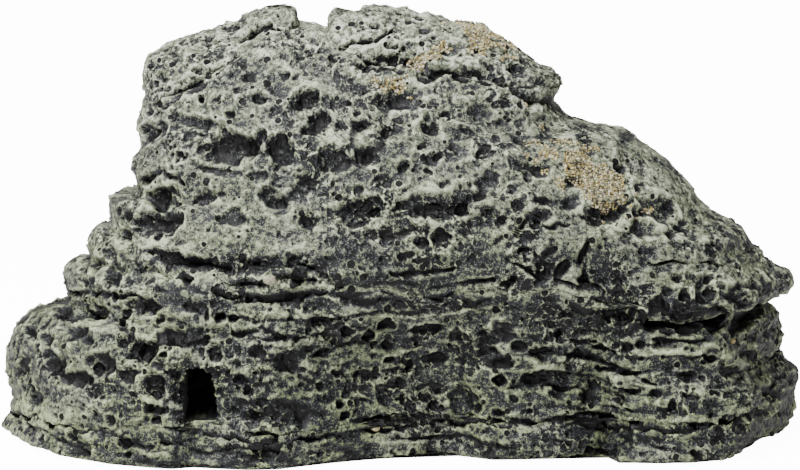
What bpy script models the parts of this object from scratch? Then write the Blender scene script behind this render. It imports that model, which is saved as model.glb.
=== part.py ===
"""Resin cave ornament for an aquarium: hollow rock castings bonded at flat glue joints, with gravel set in.

Metres, +Z up. The width runs along X, the front faces -Y, and the underside rests on z = 0.
Every height, width and depth in the tables below is a fraction of HEIGHT, WIDTH or DEPTH.
"""

import bmesh
import bpy
import numpy as np
from mathutils import Matrix, Vector
from mathutils.bvhtree import BVHTree

# Overall size, before the surface roughness
WIDTH = 0.250
DEPTH = 0.130
HEIGHT = 0.137

# Fits and surface
GLUE = 0.0003  # bond line between two castings, and around a set stone
ROUGH = 0.0016  # how far the cast surface wanders from its smooth outline
ROUGH_WAVE = 0.017  # the longest ripple of that wander
INNER_ROUGH = 0.0006  # the same on the chamber's wall

# Heights of the flat joints
PLINTH_TOP = 0.088
LOBE_TOP = 0.308
LEDGE_TOP = 0.477
SHOULDER_TOP = 0.560
SHELL_TOP = 0.394  # at x = 0
SHELL_TOP_FALL = -0.109  # rise per width towards +X

# Upright joints, as an x at y = 0 and how far it moves over the full depth
LEFT_JOINT = -0.312
LEFT_JOINT_SKEW = -0.052
RIGHT_JOINT = 0.296
RIGHT_JOINT_SKEW = 0.052
CAP_JOINT = -0.092

# Tilted seats: height at a given x, and rise per width towards +X
RIGHT_LEDGE_TOP = (0.296, 0.453, -0.300)
LEFT_CAP_SEAT = (-0.320, 0.763, 1.095)
RIGHT_CAP_SEAT = (0.000, 0.866, -0.274)

# Openings
ENTRANCE_WIDTH = 0.304
ENTRANCE_X = 0.060
ENTRANCE_SILL = 0.037
ENTRANCE_TOP = 0.336
ENTRANCE_SIDES = 14
ENTRANCE_FULLNESS = 0.6  # below 1 makes the arch squarer
SLOT_X = -0.244
SLOT_WIDTH = 0.040
SLOT_SILL = 0.104
SLOT_TOP = 0.216
SLOT_REACH = -0.130  # where the front slot breaks into the chamber

# The front of the lower castings is drawn in along two bays: centre, half-width and depth of each
BAYS = ((0.085, 0.085, 0.135), (0.240, 0.036, 0.140))
BAY_FADE = 0.60  # share of that draw gone by the top of the lower shell
CHAMBER_BAY = 0.80  # share of it that the chamber's wall follows

# Outlines, one row per height: (height, left, right, front, back)
PLINTH_ROWS = (
    (0.000, -0.488, 0.480, -0.475, 0.470),
    (0.022, -0.497, 0.497, -0.495, 0.495),
    (0.058, -0.494, 0.496, -0.488, 0.485),
    (0.110, -0.478, 0.486, -0.462, 0.462),
)
LOWER_ROWS = (
    (0.073, -0.476, 0.488, -0.462, 0.446),
    (0.117, -0.488, 0.496, -0.462, 0.446),
    (0.153, -0.492, 0.484, -0.452, 0.438),
    (0.197, -0.488, 0.472, -0.450, 0.430),
    (0.248, -0.480, 0.474, -0.442, 0.423),
    (0.292, -0.450, 0.462, -0.430, 0.415),
    (0.321, -0.425, 0.450, -0.424, 0.408),
    (0.365, -0.422, 0.452, -0.415, 0.400),
    (0.453, -0.416, 0.452, -0.400, 0.392),
)
BOULDER_ROWS = (
    (0.335, -0.416, 0.450, -0.408, 0.392),
    (0.409, -0.408, 0.450, -0.394, 0.385),
    (0.453, -0.392, 0.436, -0.378, 0.377),
    (0.496, -0.360, 0.416, -0.362, 0.362),
    (0.555, -0.336, 0.372, -0.346, 0.346),
    (0.599, -0.334, 0.352, -0.330, 0.338),
    (0.642, -0.334, 0.328, -0.308, 0.323),
    (0.686, -0.326, 0.268, -0.285, 0.308),
    (0.730, -0.328, 0.214, -0.262, 0.292),
    (0.774, -0.322, 0.196, -0.231, 0.277),
    (0.825, -0.320, 0.188, -0.200, 0.254),
    (0.876, -0.304, 0.160, -0.169, 0.231),
    (0.934, -0.226, 0.020, -0.110, 0.165),
)
LEDGE_ROWS = (
    (0.285, -0.412, -0.160, -0.330, 0.300),
    (0.336, -0.424, -0.160, -0.345, 0.310),
    (0.387, -0.418, -0.160, -0.345, 0.305),
    (0.412, -0.392, -0.160, -0.325, 0.290),
    (0.445, -0.392, -0.160, -0.315, 0.285),
    (0.490, -0.380, -0.160, -0.300, 0.275),
)
SHOULDER_ROWS = (
    (0.465, -0.354, -0.160, -0.290, 0.250),
    (0.496, -0.364, -0.160, -0.292, 0.250),
    (0.533, -0.362, -0.160, -0.285, 0.235),
    (0.575, -0.344, -0.160, -0.262, 0.215),
)
RIGHT_LEDGE_ROWS = (
    (0.321, 0.080, 0.482, -0.400, 0.280),
    (0.350, 0.080, 0.490, -0.423, 0.290),
    (0.372, 0.080, 0.488, -0.430, 0.290),
    (0.401, 0.080, 0.468, -0.415, 0.280),
    (0.431, 0.080, 0.448, -0.392, 0.265),
    (0.480, 0.080, 0.430, -0.354, 0.230),
)
LEFT_CAP_ROWS = (
    (0.715, -0.316, -0.180, -0.185, 0.215),
    (0.759, -0.324, -0.168, -0.208, 0.230),
    (0.781, -0.328, -0.152, -0.215, 0.230),
    (0.825, -0.330, -0.140, -0.215, 0.230),
    (0.869, -0.328, -0.132, -0.208, 0.223),
    (0.905, -0.304, -0.124, -0.185, 0.200),
    (0.934, -0.256, -0.120, -0.154, 0.170),
    (0.960, -0.224, -0.120, -0.115, 0.138),
    (0.982, -0.204, -0.124, -0.077, 0.100),
    (0.997, -0.168, -0.136, -0.031, 0.054),
)
RIGHT_CAP_ROWS = (
    (0.788, -0.120, 0.184, -0.215, 0.231),
    (0.822, -0.128, 0.204, -0.238, 0.246),
    (0.854, -0.132, 0.198, -0.238, 0.246),
    (0.891, -0.136, 0.156, -0.215, 0.231),
    (0.927, -0.136, 0.124, -0.177, 0.208),
    (0.956, -0.134, 0.100, -0.131, 0.169),
    (0.978, -0.116, 0.028, -0.077, 0.115),
    (0.997, -0.056, 0.000, -0.031, 0.069),
)
CHAMBER_ROWS = (
    (-0.050, -0.272, 0.392, -0.375, 0.375),
    (0.088, -0.272, 0.392, -0.372, 0.372),
    (0.270, -0.268, 0.345, -0.355, 0.352),
    (0.340, -0.266, 0.262, -0.345, 0.345),
    (0.470, -0.258, 0.256, -0.315, 0.320),
    (0.560, -0.254, 0.262, -0.285, 0.295),
    (0.650, -0.250, 0.225, -0.235, 0.255),
    (0.720, -0.200, 0.140, -0.160, 0.190),
    (0.760, -0.110, 0.050, -0.075, 0.095),
)

# Gravel beds: (name, x, height on the front elevation, length, breadth, turn in degrees, stones stand proud)
GRAVEL_BEDS = (
    ("summit_gravel", 0.090, 0.905, 0.060, 0.030, -12.0, 0.0011),
    ("middle_gravel", 0.058, 0.860, 0.030, 0.015, 8.0, 0.0009),
    ("rust_gravel", 0.026, 0.842, 0.020, 0.014, 0.0, 0.0009),
    ("crevice_gravel", -0.004, 0.790, 0.042, 0.018, 10.0, 0.0010),
    ("slope_gravel", 0.228, 0.588, 0.118, 0.038, -36.0, 0.0011),
)
BED_DEPTH = 0.0016  # how deep a gravel bed is let into the casting
BED_SIDES = 18

# Set stones: (name, x, height on the front elevation, radius)
PEBBLES = (
    ("crevice_pebble", 0.038, 0.776, 0.0014),
    ("cap_edge_pebble", 0.151, 0.740, 0.0013),
    ("hollow_pebble", -0.160, 0.349, 0.0017),
    ("ledge_pebble", 0.408, 0.209, 0.0011),
    ("base_pebble", -0.030, 0.016, 0.0012),
)
PEBBLE_PROUD = 0.35  # share of its radius by which a stone's middle stands off the surface
VIEW_DIP = 10.0  # the front elevation is drawn from this many degrees above the horizon

# Mesh fineness
AROUND_LARGE = 84
AROUND_SMALL = 44
AROUND_CHAMBER = 40
PLAN_SQUARENESS = 2.8
CHAMBER_SQUARENESS = 3.0


def clear_scene():
    for obj in list(bpy.data.objects):
        bpy.data.objects.remove(obj, do_unlink=True)


def make_material(name, colour, roughness):
    """A painted or bare surface as one Principled shader with its own colour and roughness."""
    material = bpy.data.materials.new(name)
    material.use_nodes = True
    shader = next(n for n in material.node_tree.nodes if n.type == "BSDF_PRINCIPLED")
    shader.inputs["Base Color"].default_value = (*colour, 1.0)
    shader.inputs["Roughness"].default_value = roughness
    shader.inputs["Metallic"].default_value = 0.0
    material.diffuse_color = (*colour, 1.0)
    return material


def ripple(x, y, z, wave):
    """Rock-like unevenness between about -1 and 1: crossed sine ripples of falling length, bent by each other."""
    k = 2.0 * np.pi / wave
    a = np.sin(k * (0.62 * x + 0.35 * y + 1.10 * z) + 1.3)
    b = np.sin(k * (1.31 * x - 0.74 * y - 0.52 * z) + 2.1 * a)
    c = np.sin(k * (2.17 * x + 1.63 * y + 2.90 * z) + 0.7 + 1.2 * b)
    d = np.sin(k * (-3.70 * x + 2.90 * y + 3.30 * z) + 2.4)
    return 0.38 * a + 0.27 * b + 0.22 * c + 0.13 * d


def front_angles(count):
    """Angles around an outline, closer together along the front (-Y) than along the back."""
    even = np.linspace(0.0, 2.0 * np.pi, count, endpoint=False)
    return even - 0.28 * np.cos(even)


def bay_depth(x):
    """How far the lower castings' front is drawn in at each x."""
    total = np.zeros_like(x)
    for centre, half_width, depth in BAYS:
        total += depth * DEPTH * np.exp(-(((x - centre * WIDTH) / (half_width * WIDTH)) ** 2))
    return total


def outline_rings(rows, angles, squareness, rough, bays=0.0):
    """Points of stacked squarish ovals, one oval per row, as an array of rows by angles by 3."""
    table = np.array(rows)
    height, left, right, front, back = (table[:, i, None] for i in range(5))
    c, s = np.cos(angles)[None, :], np.sin(angles)[None, :]
    reach = (np.abs(c) ** squareness + np.abs(s) ** squareness) ** (-1.0 / squareness)
    x = 0.5 * (left + right) * WIDTH + 0.5 * (right - left) * WIDTH * reach * c
    y = 0.5 * (front + back) * DEPTH + 0.5 * (back - front) * DEPTH * reach * s
    fade = 1.0 - BAY_FADE * np.clip(height / SHELL_TOP, 0.0, 1.0)
    y = y + bays * fade * bay_depth(x) * np.clip(-s, 0.0, 1.0) ** 0.5
    z = height * HEIGHT + 0.0 * x
    push = rough * ripple(x, y, z, ROUGH_WAVE)
    return np.stack([x + push * c * reach, y + push * s * reach, z], axis=-1)


def loft_mesh(name, rows, around, squareness=PLAN_SQUARENESS, rough=ROUGH, bays=0.0):
    """A closed bmesh skinned over the rows' ovals, capped flat at both ends."""
    rings = outline_rings(rows, front_angles(around), squareness, rough, bays)
    bm = bmesh.new()
    grid = [[bm.verts.new(point) for point in ring] for ring in rings]
    for low, high in zip(grid[:-1], grid[1:]):
        for i in range(around):
            j = (i + 1) % around
            bm.faces.new((low[i], low[j], high[j], high[i]))
    bm.faces.new(list(reversed(grid[0])))
    bm.faces.new(grid[-1])
    bmesh.ops.triangulate(bm, faces=bm.faces[:])
    return bm


def keep_side(bm, point, normal):
    """Cuts the solid with a plane, drops what the normal points at, and closes the cut with a flat face."""
    everything = bm.verts[:] + bm.edges[:] + bm.faces[:]
    bmesh.ops.bisect_plane(
        bm, geom=everything, dist=1e-7, plane_co=point, plane_no=normal, clear_outer=True
    )
    rim = [edge for edge in bm.edges if edge.is_boundary]
    bmesh.ops.holes_fill(bm, edges=rim, sides=0)
    bmesh.ops.triangulate(bm, faces=[face for face in bm.faces if len(face.verts) > 3])


def seat_plane(seat, lift):
    """Point and upward normal of a tilted seat (x, height, rise per width), raised by lift."""
    x, height, rise = seat
    slope = rise * HEIGHT / WIDTH
    point = Vector((x * WIDTH, 0.0, height * HEIGHT + lift))
    return point, Vector((-slope, 0.0, 1.0)).normalized()


def joint_plane(x, skew, shift):
    """Point and rightward normal of an upright joint, moved by shift along X."""
    return Vector((x * WIDTH + shift, 0.0, 0.0)), Vector((1.0, -skew * WIDTH / DEPTH, 0.0)).normalized()


def finish_object(name, bm, material):
    """Turns the bmesh into a named object with outward faces."""
    bmesh.ops.remove_doubles(bm, verts=bm.verts[:], dist=2e-6)
    bmesh.ops.dissolve_degenerate(bm, edges=bm.edges[:], dist=2e-6)
    bmesh.ops.triangulate(bm, faces=[face for face in bm.faces if len(face.verts) > 3])
    bmesh.ops.recalc_face_normals(bm, faces=bm.faces[:])
    mesh = bpy.data.meshes.new(name)
    bm.to_mesh(mesh)
    bm.free()
    obj = bpy.data.objects.new(name, mesh)
    bpy.context.scene.collection.objects.link(obj)
    if material is not None:
        mesh.materials.append(material)
    return obj


def cut_away(target, cutter):
    """Takes the cutter's solid out of the target's, keeping the result as the target's own mesh."""
    modifier = target.modifiers.new("cut", "BOOLEAN")
    modifier.operation = "DIFFERENCE"
    modifier.solver = "EXACT"
    modifier.object = cutter
    graph = bpy.context.evaluated_depsgraph_get()
    result = bpy.data.meshes.new_from_object(target.evaluated_get(graph), depsgraph=graph)
    target.modifiers.clear()
    target.data = result


def box_of(obj):
    """Lowest and highest corner of an object's mesh."""
    points = np.array([tuple(vertex.co) for vertex in obj.data.vertices])
    return points.min(axis=0), points.max(axis=0)


def cut_from_all(castings, cutter):
    """Takes the cutter out of each casting whose box it reaches."""
    low, high = box_of(cutter)
    for casting in castings:
        casting_low, casting_high = box_of(casting)
        if np.all(casting_low < high) and np.all(casting_high > low):
            cut_away(casting, cutter)


def drop(*helpers):
    for helper in helpers:
        bpy.data.objects.remove(helper, do_unlink=True)


def block(name, corners):
    """A six-sided solid from its four lower corners and then its four upper ones."""
    bm = bmesh.new()
    v = [bm.verts.new(corner) for corner in corners]
    for face in ((3, 2, 1, 0), (4, 5, 6, 7), (0, 1, 5, 4), (1, 2, 6, 5), (2, 3, 7, 6), (3, 0, 4, 7)):
        bm.faces.new([v[i] for i in face])
    return finish_object(name, bm, None)


def left_notch():
    """The corner of the upper boulder that the ledge and shoulder fill."""
    span = DEPTH
    far = -WIDTH
    low = -HEIGHT
    top = SHOULDER_TOP * HEIGHT + GLUE
    skew = LEFT_JOINT_SKEW * WIDTH / DEPTH * span
    x = LEFT_JOINT * WIDTH
    plan = ((far, -span), (x - skew, -span), (x + skew, span), (far, span))
    return block("left_notch", [(a, b, low) for a, b in plan] + [(a, b, top) for a, b in plan])


def right_notch():
    """The corner of the upper boulder that the right ledge fills."""
    span = DEPTH
    far = WIDTH
    low = -HEIGHT
    skew = RIGHT_JOINT_SKEW * WIDTH / DEPTH * span
    x = RIGHT_JOINT * WIDTH
    seat_x, seat_height, rise = RIGHT_LEDGE_TOP
    slope = rise * HEIGHT / WIDTH
    plan = ((x - skew, -span), (far, -span), (far, span), (x + skew, span))
    top = [(a, b, seat_height * HEIGHT + GLUE + slope * (a - seat_x * WIDTH)) for a, b in plan]
    return block("right_notch", [(a, b, low) for a, b in plan] + top)


def cap_notch():
    """The top corner of the upper boulder that the right cap fills."""
    span = DEPTH
    seat_x, seat_height, rise = RIGHT_CAP_SEAT
    slope = rise * HEIGHT / WIDTH
    near = CAP_JOINT * WIDTH
    plan = ((near, -span), (WIDTH, -span), (WIDTH, span), (near, span))
    floor = [(a, b, seat_height * HEIGHT + slope * (a - seat_x * WIDTH)) for a, b in plan]
    return block("cap_notch", floor + [(a, b, 2.0 * HEIGHT) for a, b in plan])


def entrance_cutter():
    """An arched prism that opens the chamber to the back."""
    half = 0.5 * ENTRANCE_WIDTH * WIDTH
    middle = ENTRANCE_X * WIDTH
    sill = ENTRANCE_SILL * HEIGHT
    rise = (ENTRANCE_TOP - ENTRANCE_SILL) * HEIGHT
    arch = np.linspace(0.0, np.pi, ENTRANCE_SIDES)
    points = [(middle + half * np.cos(a), sill + rise * np.sin(a) ** ENTRANCE_FULLNESS) for a in arch]
    return prism("entrance_cutter", points, 0.0, DEPTH)


def slot_cutter():
    """A tall narrow prism, narrower at the top, from the front face into the chamber."""
    half = 0.5 * SLOT_WIDTH * WIDTH
    middle = SLOT_X * WIDTH
    sill = SLOT_SILL * HEIGHT
    top = SLOT_TOP * HEIGHT
    shoulder = sill + 0.72 * (top - sill)
    points = (
        (middle + half, sill),
        (middle + half, shoulder),
        (middle + 0.3 * half, top),
        (middle - 0.8 * half, top),
        (middle - half, shoulder),
        (middle - half, sill),
    )
    return prism("slot_cutter", points, -DEPTH, SLOT_REACH * DEPTH)


def prism(name, points, near, far):
    """A straight solid along Y from an outline in X and Z."""
    bm = bmesh.new()
    rings = [[bm.verts.new((x, y, z)) for x, z in points] for y in (near, far)]
    count = len(points)
    for i in range(count):
        j = (i + 1) % count
        bm.faces.new((rings[0][i], rings[0][j], rings[1][j], rings[1][i]))
    bm.faces.new(list(reversed(rings[0])))
    bm.faces.new(rings[1])
    return finish_object(name, bm, None)


def build_lower(chamber, entrance, slot, paint):
    """The plinth, the hollow lower shell and the lobe bonded to its left end."""
    plinth_bm = loft_mesh("base_plinth", PLINTH_ROWS, AROUND_LARGE, bays=1.0)
    keep_side(plinth_bm, Vector((0.0, 0.0, PLINTH_TOP * HEIGHT)), Vector((0.0, 0.0, 1.0)))
    plinth = finish_object("base_plinth", plinth_bm, paint["plinth"])

    shell_seat = (0.0, SHELL_TOP, SHELL_TOP_FALL)
    above_plinth = Vector((0.0, 0.0, PLINTH_TOP * HEIGHT + GLUE))
    down = Vector((0.0, 0.0, -1.0))
    shell_bm = loft_mesh("lower_shell", LOWER_ROWS, AROUND_LARGE, bays=1.0)
    keep_side(shell_bm, above_plinth, down)
    keep_side(shell_bm, *seat_plane(shell_seat, 0.0))
    point, normal = joint_plane(LEFT_JOINT, LEFT_JOINT_SKEW, 0.0)
    keep_side(shell_bm, point, -normal)
    shell = finish_object("lower_shell", shell_bm, paint["shell"])

    lobe_bm = loft_mesh("lower_left_lobe", LOWER_ROWS, AROUND_LARGE, bays=1.0)
    keep_side(lobe_bm, above_plinth, down)
    keep_side(lobe_bm, Vector((0.0, 0.0, LOBE_TOP * HEIGHT)), Vector((0.0, 0.0, 1.0)))
    keep_side(lobe_bm, *joint_plane(LEFT_JOINT, LEFT_JOINT_SKEW, -GLUE))
    lobe = finish_object("lower_left_lobe", lobe_bm, paint["lobe"])

    for target in (plinth, shell):
        cut_away(target, chamber)
        cut_away(target, entrance)
    cut_away(shell, slot)
    return plinth, shell, lobe


def build_left_ledges(paint):
    """The two stacked slabs on the left lobe, each cut off at the left joint."""
    made = []
    for name, rows, low, top, colour in (
        ("left_ledge", LEDGE_ROWS, LOBE_TOP, LEDGE_TOP, "ledge"),
        ("left_shoulder", SHOULDER_ROWS, LEDGE_TOP, SHOULDER_TOP, "shoulder"),
    ):
        bm = loft_mesh(name, rows, AROUND_SMALL)
        keep_side(bm, Vector((0.0, 0.0, low * HEIGHT + GLUE)), Vector((0.0, 0.0, -1.0)))
        keep_side(bm, Vector((0.0, 0.0, top * HEIGHT)), Vector((0.0, 0.0, 1.0)))
        keep_side(bm, *joint_plane(LEFT_JOINT, LEFT_JOINT_SKEW, -GLUE))
        made.append(finish_object(name, bm, paint[colour]))
    return made


def build_boulder(chamber, paint):
    """The hollow upper casting, with a notch at each end and two seats on top."""
    bm = loft_mesh("upper_boulder", BOULDER_ROWS, AROUND_LARGE)
    point, normal = seat_plane((0.0, SHELL_TOP, SHELL_TOP_FALL), GLUE)
    keep_side(bm, point, -normal)
    keep_side(bm, *seat_plane(LEFT_CAP_SEAT, 0.0))
    boulder = finish_object("upper_boulder", bm, paint["boulder"])
    notches = (left_notch(), right_notch(), cap_notch())
    for cutter in (*notches, chamber):
        cut_away(boulder, cutter)
    drop(*notches)
    return boulder


def build_right_ledge(paint):
    """The overhanging slab between the lower shell and the right end of the boulder."""
    bm = loft_mesh("right_ledge", RIGHT_LEDGE_ROWS, AROUND_SMALL)
    point, normal = seat_plane((0.0, SHELL_TOP, SHELL_TOP_FALL), GLUE)
    keep_side(bm, point, -normal)
    keep_side(bm, *seat_plane(RIGHT_LEDGE_TOP, 0.0))
    point, normal = joint_plane(RIGHT_JOINT, RIGHT_JOINT_SKEW, GLUE)
    keep_side(bm, point, -normal)
    return finish_object("right_ledge", bm, paint["right_ledge"])


def build_caps(paint):
    """The two slabs on the summit."""
    left_bm = loft_mesh("left_cap", LEFT_CAP_ROWS, AROUND_SMALL)
    point, normal = seat_plane(LEFT_CAP_SEAT, GLUE)
    keep_side(left_bm, point, -normal)
    left = finish_object("left_cap", left_bm, paint["left_cap"])

    right_bm = loft_mesh("right_cap", RIGHT_CAP_ROWS, AROUND_SMALL)
    point, normal = seat_plane(RIGHT_CAP_SEAT, GLUE)
    keep_side(right_bm, point, -normal)
    keep_side(right_bm, Vector((CAP_JOINT * WIDTH + GLUE, 0.0, 0.0)), Vector((-1.0, 0.0, 0.0)))
    right = finish_object("right_cap", right_bm, paint["right_cap"])
    return left, right


def find_surface(castings, x, height):
    """Point and normal where the sight line at (x, height) on the front elevation first meets a casting."""
    dip = np.radians(VIEW_DIP)
    ahead = Vector((0.0, np.cos(dip), -np.sin(dip)))
    up = Vector((0.0, np.sin(dip), np.cos(dip)))
    start = Vector((x * WIDTH, 0.0, 0.0)) + up * (height * HEIGHT) - ahead * (4.0 * DEPTH)
    best = None
    for obj in castings:
        corners = [vertex.co for vertex in obj.data.vertices]
        faces = [tuple(face.vertices) for face in obj.data.polygons]
        point, normal, _, distance = BVHTree.FromPolygons(corners, faces).ray_cast(start, ahead)
        if point is not None and (best is None or distance < best[2]):
            best = (point, normal, distance)
    return best[:2]


def surface_frame(point, normal, turn):
    """A placing matrix whose Z is the surface normal and whose X runs level along the face, turned by degrees."""
    along = Vector((1.0, 0.0, 0.0))
    along = (along - normal * along.dot(normal)).normalized()
    across = normal.cross(along)
    basis = Matrix((along, across, normal)).transposed().to_4x4()
    return Matrix.Translation(point) @ basis @ Matrix.Rotation(np.radians(turn), 4, "Z")


def bed_outline(length, breadth, inset):
    """An uneven oval in the XY plane, drawn in by inset."""
    angles = np.linspace(0.0, 2.0 * np.pi, BED_SIDES, endpoint=False)
    wobble = 1.0 + 0.10 * np.sin(3.0 * angles + 0.6) + 0.06 * np.sin(5.0 * angles + 2.0)
    x = (0.5 * length * wobble - inset) * np.cos(angles)
    y = (0.5 * breadth * wobble - inset) * np.sin(angles)
    return x, y


def bed_solid(name, place, length, breadth, inset, floor, top, lumpy, material):
    """An upright slab on that outline, or with a lumpy crown made of rings of stones."""
    x, y = bed_outline(length, breadth, inset)
    bm = bmesh.new()
    bottom = [bm.verts.new((a, b, floor)) for a, b in zip(x, y)]
    rim = [bm.verts.new((a, b, top)) for a, b in zip(x, y)]
    for i in range(BED_SIDES):
        j = (i + 1) % BED_SIDES
        bm.faces.new((bottom[i], bottom[j], rim[j], rim[i]))
    bm.faces.new(list(reversed(bottom)))
    previous = rim
    for share in (0.66, 0.33) if lumpy > 0.0 else ():
        heights = top + lumpy * (0.7 + 0.5 * np.sin(7.0 * np.arange(BED_SIDES) + 9.0 * share))
        ring = [bm.verts.new((a * share, b * share, h)) for a, b, h in zip(x, y, heights)]
        for i in range(BED_SIDES):
            j = (i + 1) % BED_SIDES
            bm.faces.new((previous[i], previous[j], ring[j], ring[i]))
        previous = ring
    bm.faces.new(previous)
    bmesh.ops.triangulate(bm, faces=bm.faces[:])
    bmesh.ops.transform(bm, matrix=place, verts=bm.verts[:])
    return finish_object(name, bm, material)


def set_gravel(castings, material):
    """Lets each gravel bed into the casting it lies on."""
    for name, x, height, length, breadth, turn, proud in GRAVEL_BEDS:
        point, normal = find_surface(castings, x, height)
        place = surface_frame(point, normal, turn)
        size = (length * WIDTH, breadth * WIDTH)
        pocket = bed_solid("pocket", place, *size, 0.0, -BED_DEPTH, 10.0 * BED_DEPTH, 0.0, None)
        cut_from_all(castings, pocket)
        drop(pocket)
        bed_solid(name, place, *size, GLUE, GLUE - BED_DEPTH, 0.5 * proud, proud, material)


def set_pebbles(castings, material):
    """Beds each loose stone in a socket of its own."""
    for index, (name, x, height, radius) in enumerate(PEBBLES):
        point, normal = find_surface(castings, x, height)
        place = Matrix.Translation(point + normal * (PEBBLE_PROUD * radius))
        socket = stone(f"socket_{index}", place, radius + GLUE, 0.0, None)
        cut_from_all(castings, socket)
        drop(socket)
        stone(name, place, radius, 0.10, material)


def stone(name, place, radius, uneven, material):
    """A small rounded stone, drawn in by up to the uneven share of its radius."""
    bm = bmesh.new()
    bmesh.ops.create_icosphere(bm, subdivisions=2, radius=radius)
    for vertex in bm.verts:
        x, y, z = (vertex.co / radius) * 0.01
        vertex.co *= 1.0 - uneven * (0.5 + 0.5 * float(ripple(x, y, z, 0.02)))
    bmesh.ops.transform(bm, matrix=place, verts=bm.verts[:])
    return finish_object(name, bm, material)


def centre_all():
    """Moves the finished assembly so that its box is centred over the origin and its underside is z = 0."""
    boxes = np.array([box_of(obj) for obj in bpy.data.objects])
    low, high = boxes[:, 0].min(axis=0), boxes[:, 1].max(axis=0)
    shift = Matrix.Translation((-0.5 * (low[0] + high[0]), -0.5 * (low[1] + high[1]), -low[2]))
    for obj in bpy.data.objects:
        obj.data.transform(shift)


def main():
    clear_scene()
    paint = {
        "plinth": make_material("painted_resin_plinth", (0.150, 0.165, 0.130), 0.55),
        "shell": make_material("painted_resin_shell", (0.165, 0.185, 0.140), 0.55),
        "lobe": make_material("painted_resin_lobe", (0.180, 0.200, 0.150), 0.55),
        "ledge": make_material("painted_resin_ledge", (0.190, 0.205, 0.165), 0.55),
        "shoulder": make_material("painted_resin_shoulder", (0.200, 0.215, 0.175), 0.55),
        "boulder": make_material("painted_resin_boulder", (0.210, 0.225, 0.185), 0.55),
        "right_ledge": make_material("painted_resin_right_ledge", (0.200, 0.218, 0.172), 0.55),
        "left_cap": make_material("painted_resin_left_cap", (0.225, 0.238, 0.200), 0.55),
        "right_cap": make_material("painted_resin_right_cap", (0.235, 0.245, 0.212), 0.55),
    }
    gravel = make_material("set_gravel", (0.420, 0.290, 0.150), 0.70)
    pebble = make_material("set_pebble", (0.520, 0.470, 0.380), 0.60)

    chamber = finish_object(
        "chamber_cutter",
        loft_mesh(
            "chamber", CHAMBER_ROWS, AROUND_CHAMBER, CHAMBER_SQUARENESS, INNER_ROUGH, CHAMBER_BAY
        ),
        None,
    )
    entrance = entrance_cutter()
    slot = slot_cutter()
    castings = [*build_lower(chamber, entrance, slot, paint)]
    castings += build_left_ledges(paint)
    castings.append(build_boulder(chamber, paint))
    castings.append(build_right_ledge(paint))
    castings += build_caps(paint)
    drop(chamber, entrance, slot)
    set_gravel(castings, gravel)
    set_pebbles(castings, pebble)
    centre_all()


main()
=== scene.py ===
"""Resin cave ornament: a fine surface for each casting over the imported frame, with paint, gravel and studio.

Lengths inside the shape functions are millimetres; meshes are made in metres. +X runs along the width, the
front faces -Y and +Z is up. "Elevation" coordinates are (x, s): s is the height of a point on the front
elevation, drawn from ten degrees above the horizon, so s = z cos 10 + y sin 10.
"""

import bmesh
import bpy
import numpy as np
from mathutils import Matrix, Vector

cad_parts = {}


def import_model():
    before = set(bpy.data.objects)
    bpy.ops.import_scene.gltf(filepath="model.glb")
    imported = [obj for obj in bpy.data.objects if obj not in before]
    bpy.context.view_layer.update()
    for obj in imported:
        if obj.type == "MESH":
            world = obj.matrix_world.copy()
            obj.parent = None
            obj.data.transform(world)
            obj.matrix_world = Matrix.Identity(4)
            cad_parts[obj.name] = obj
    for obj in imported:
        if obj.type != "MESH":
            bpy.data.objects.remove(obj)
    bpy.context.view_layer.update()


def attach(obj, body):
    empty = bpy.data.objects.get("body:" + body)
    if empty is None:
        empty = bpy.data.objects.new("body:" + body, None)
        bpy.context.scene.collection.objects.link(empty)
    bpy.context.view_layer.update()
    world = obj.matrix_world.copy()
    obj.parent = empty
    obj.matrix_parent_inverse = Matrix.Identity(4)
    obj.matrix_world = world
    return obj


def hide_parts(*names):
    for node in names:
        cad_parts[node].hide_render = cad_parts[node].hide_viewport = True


MM = 0.001
DIP = np.radians(10.0)
SEED = 7301
PAINT_FINE = 2.4
PAINT_BROAD = 1.0


# ---------------------------------------------------------------- noise


def lattice(ix, iy, iz, seed):
    """A repeatable value from 0 to 1 for each whole-number cell."""
    a = ix.astype(np.int64) * 374761393 + iy.astype(np.int64) * 668265263
    a = a + iz.astype(np.int64) * 2147483647 + seed * 1274126177
    a = (a ^ (a >> 13)) & 0xFFFFFFFF
    a = (a * 1103515245 + 12345) & 0xFFFFFFFF
    a = (a ^ (a >> 16)) & 0xFFFFFFFF
    a = (a * 2246822519) & 0xFFFFFFFF
    return ((a ^ (a >> 15)) & 0xFFFFFF) / float(0x1000000)


def noise(p, wave, seed):
    """Smooth noise of about -1 to 1: corner values of a cubic lattice blended by a fifth-power ease."""
    q = p / wave
    base = np.floor(q)
    f = q - base
    e = f * f * f * (f * (f * 6.0 - 15.0) + 10.0)
    total = 0.0
    for dx in (0, 1):
        for dy in (0, 1):
            for dz in (0, 1):
                value = lattice(base[..., 0] + dx, base[..., 1] + dy, base[..., 2] + dz, seed)
                share = np.where(dx, e[..., 0], 1.0 - e[..., 0])
                share = share * np.where(dy, e[..., 1], 1.0 - e[..., 1])
                share = share * np.where(dz, e[..., 2], 1.0 - e[..., 2])
                total = total + value * share
    return 2.0 * total - 1.0


def layered(p, wave, octaves, seed, gain=0.5):
    """Noise summed over halving wavelengths."""
    total = 0.0
    size = 1.0
    norm = 0.0
    for k in range(octaves):
        total = total + size * noise(p + 31.7 * k, wave / 2.0**k, seed + k)
        norm += size
        size *= gain
    return total / norm


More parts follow.
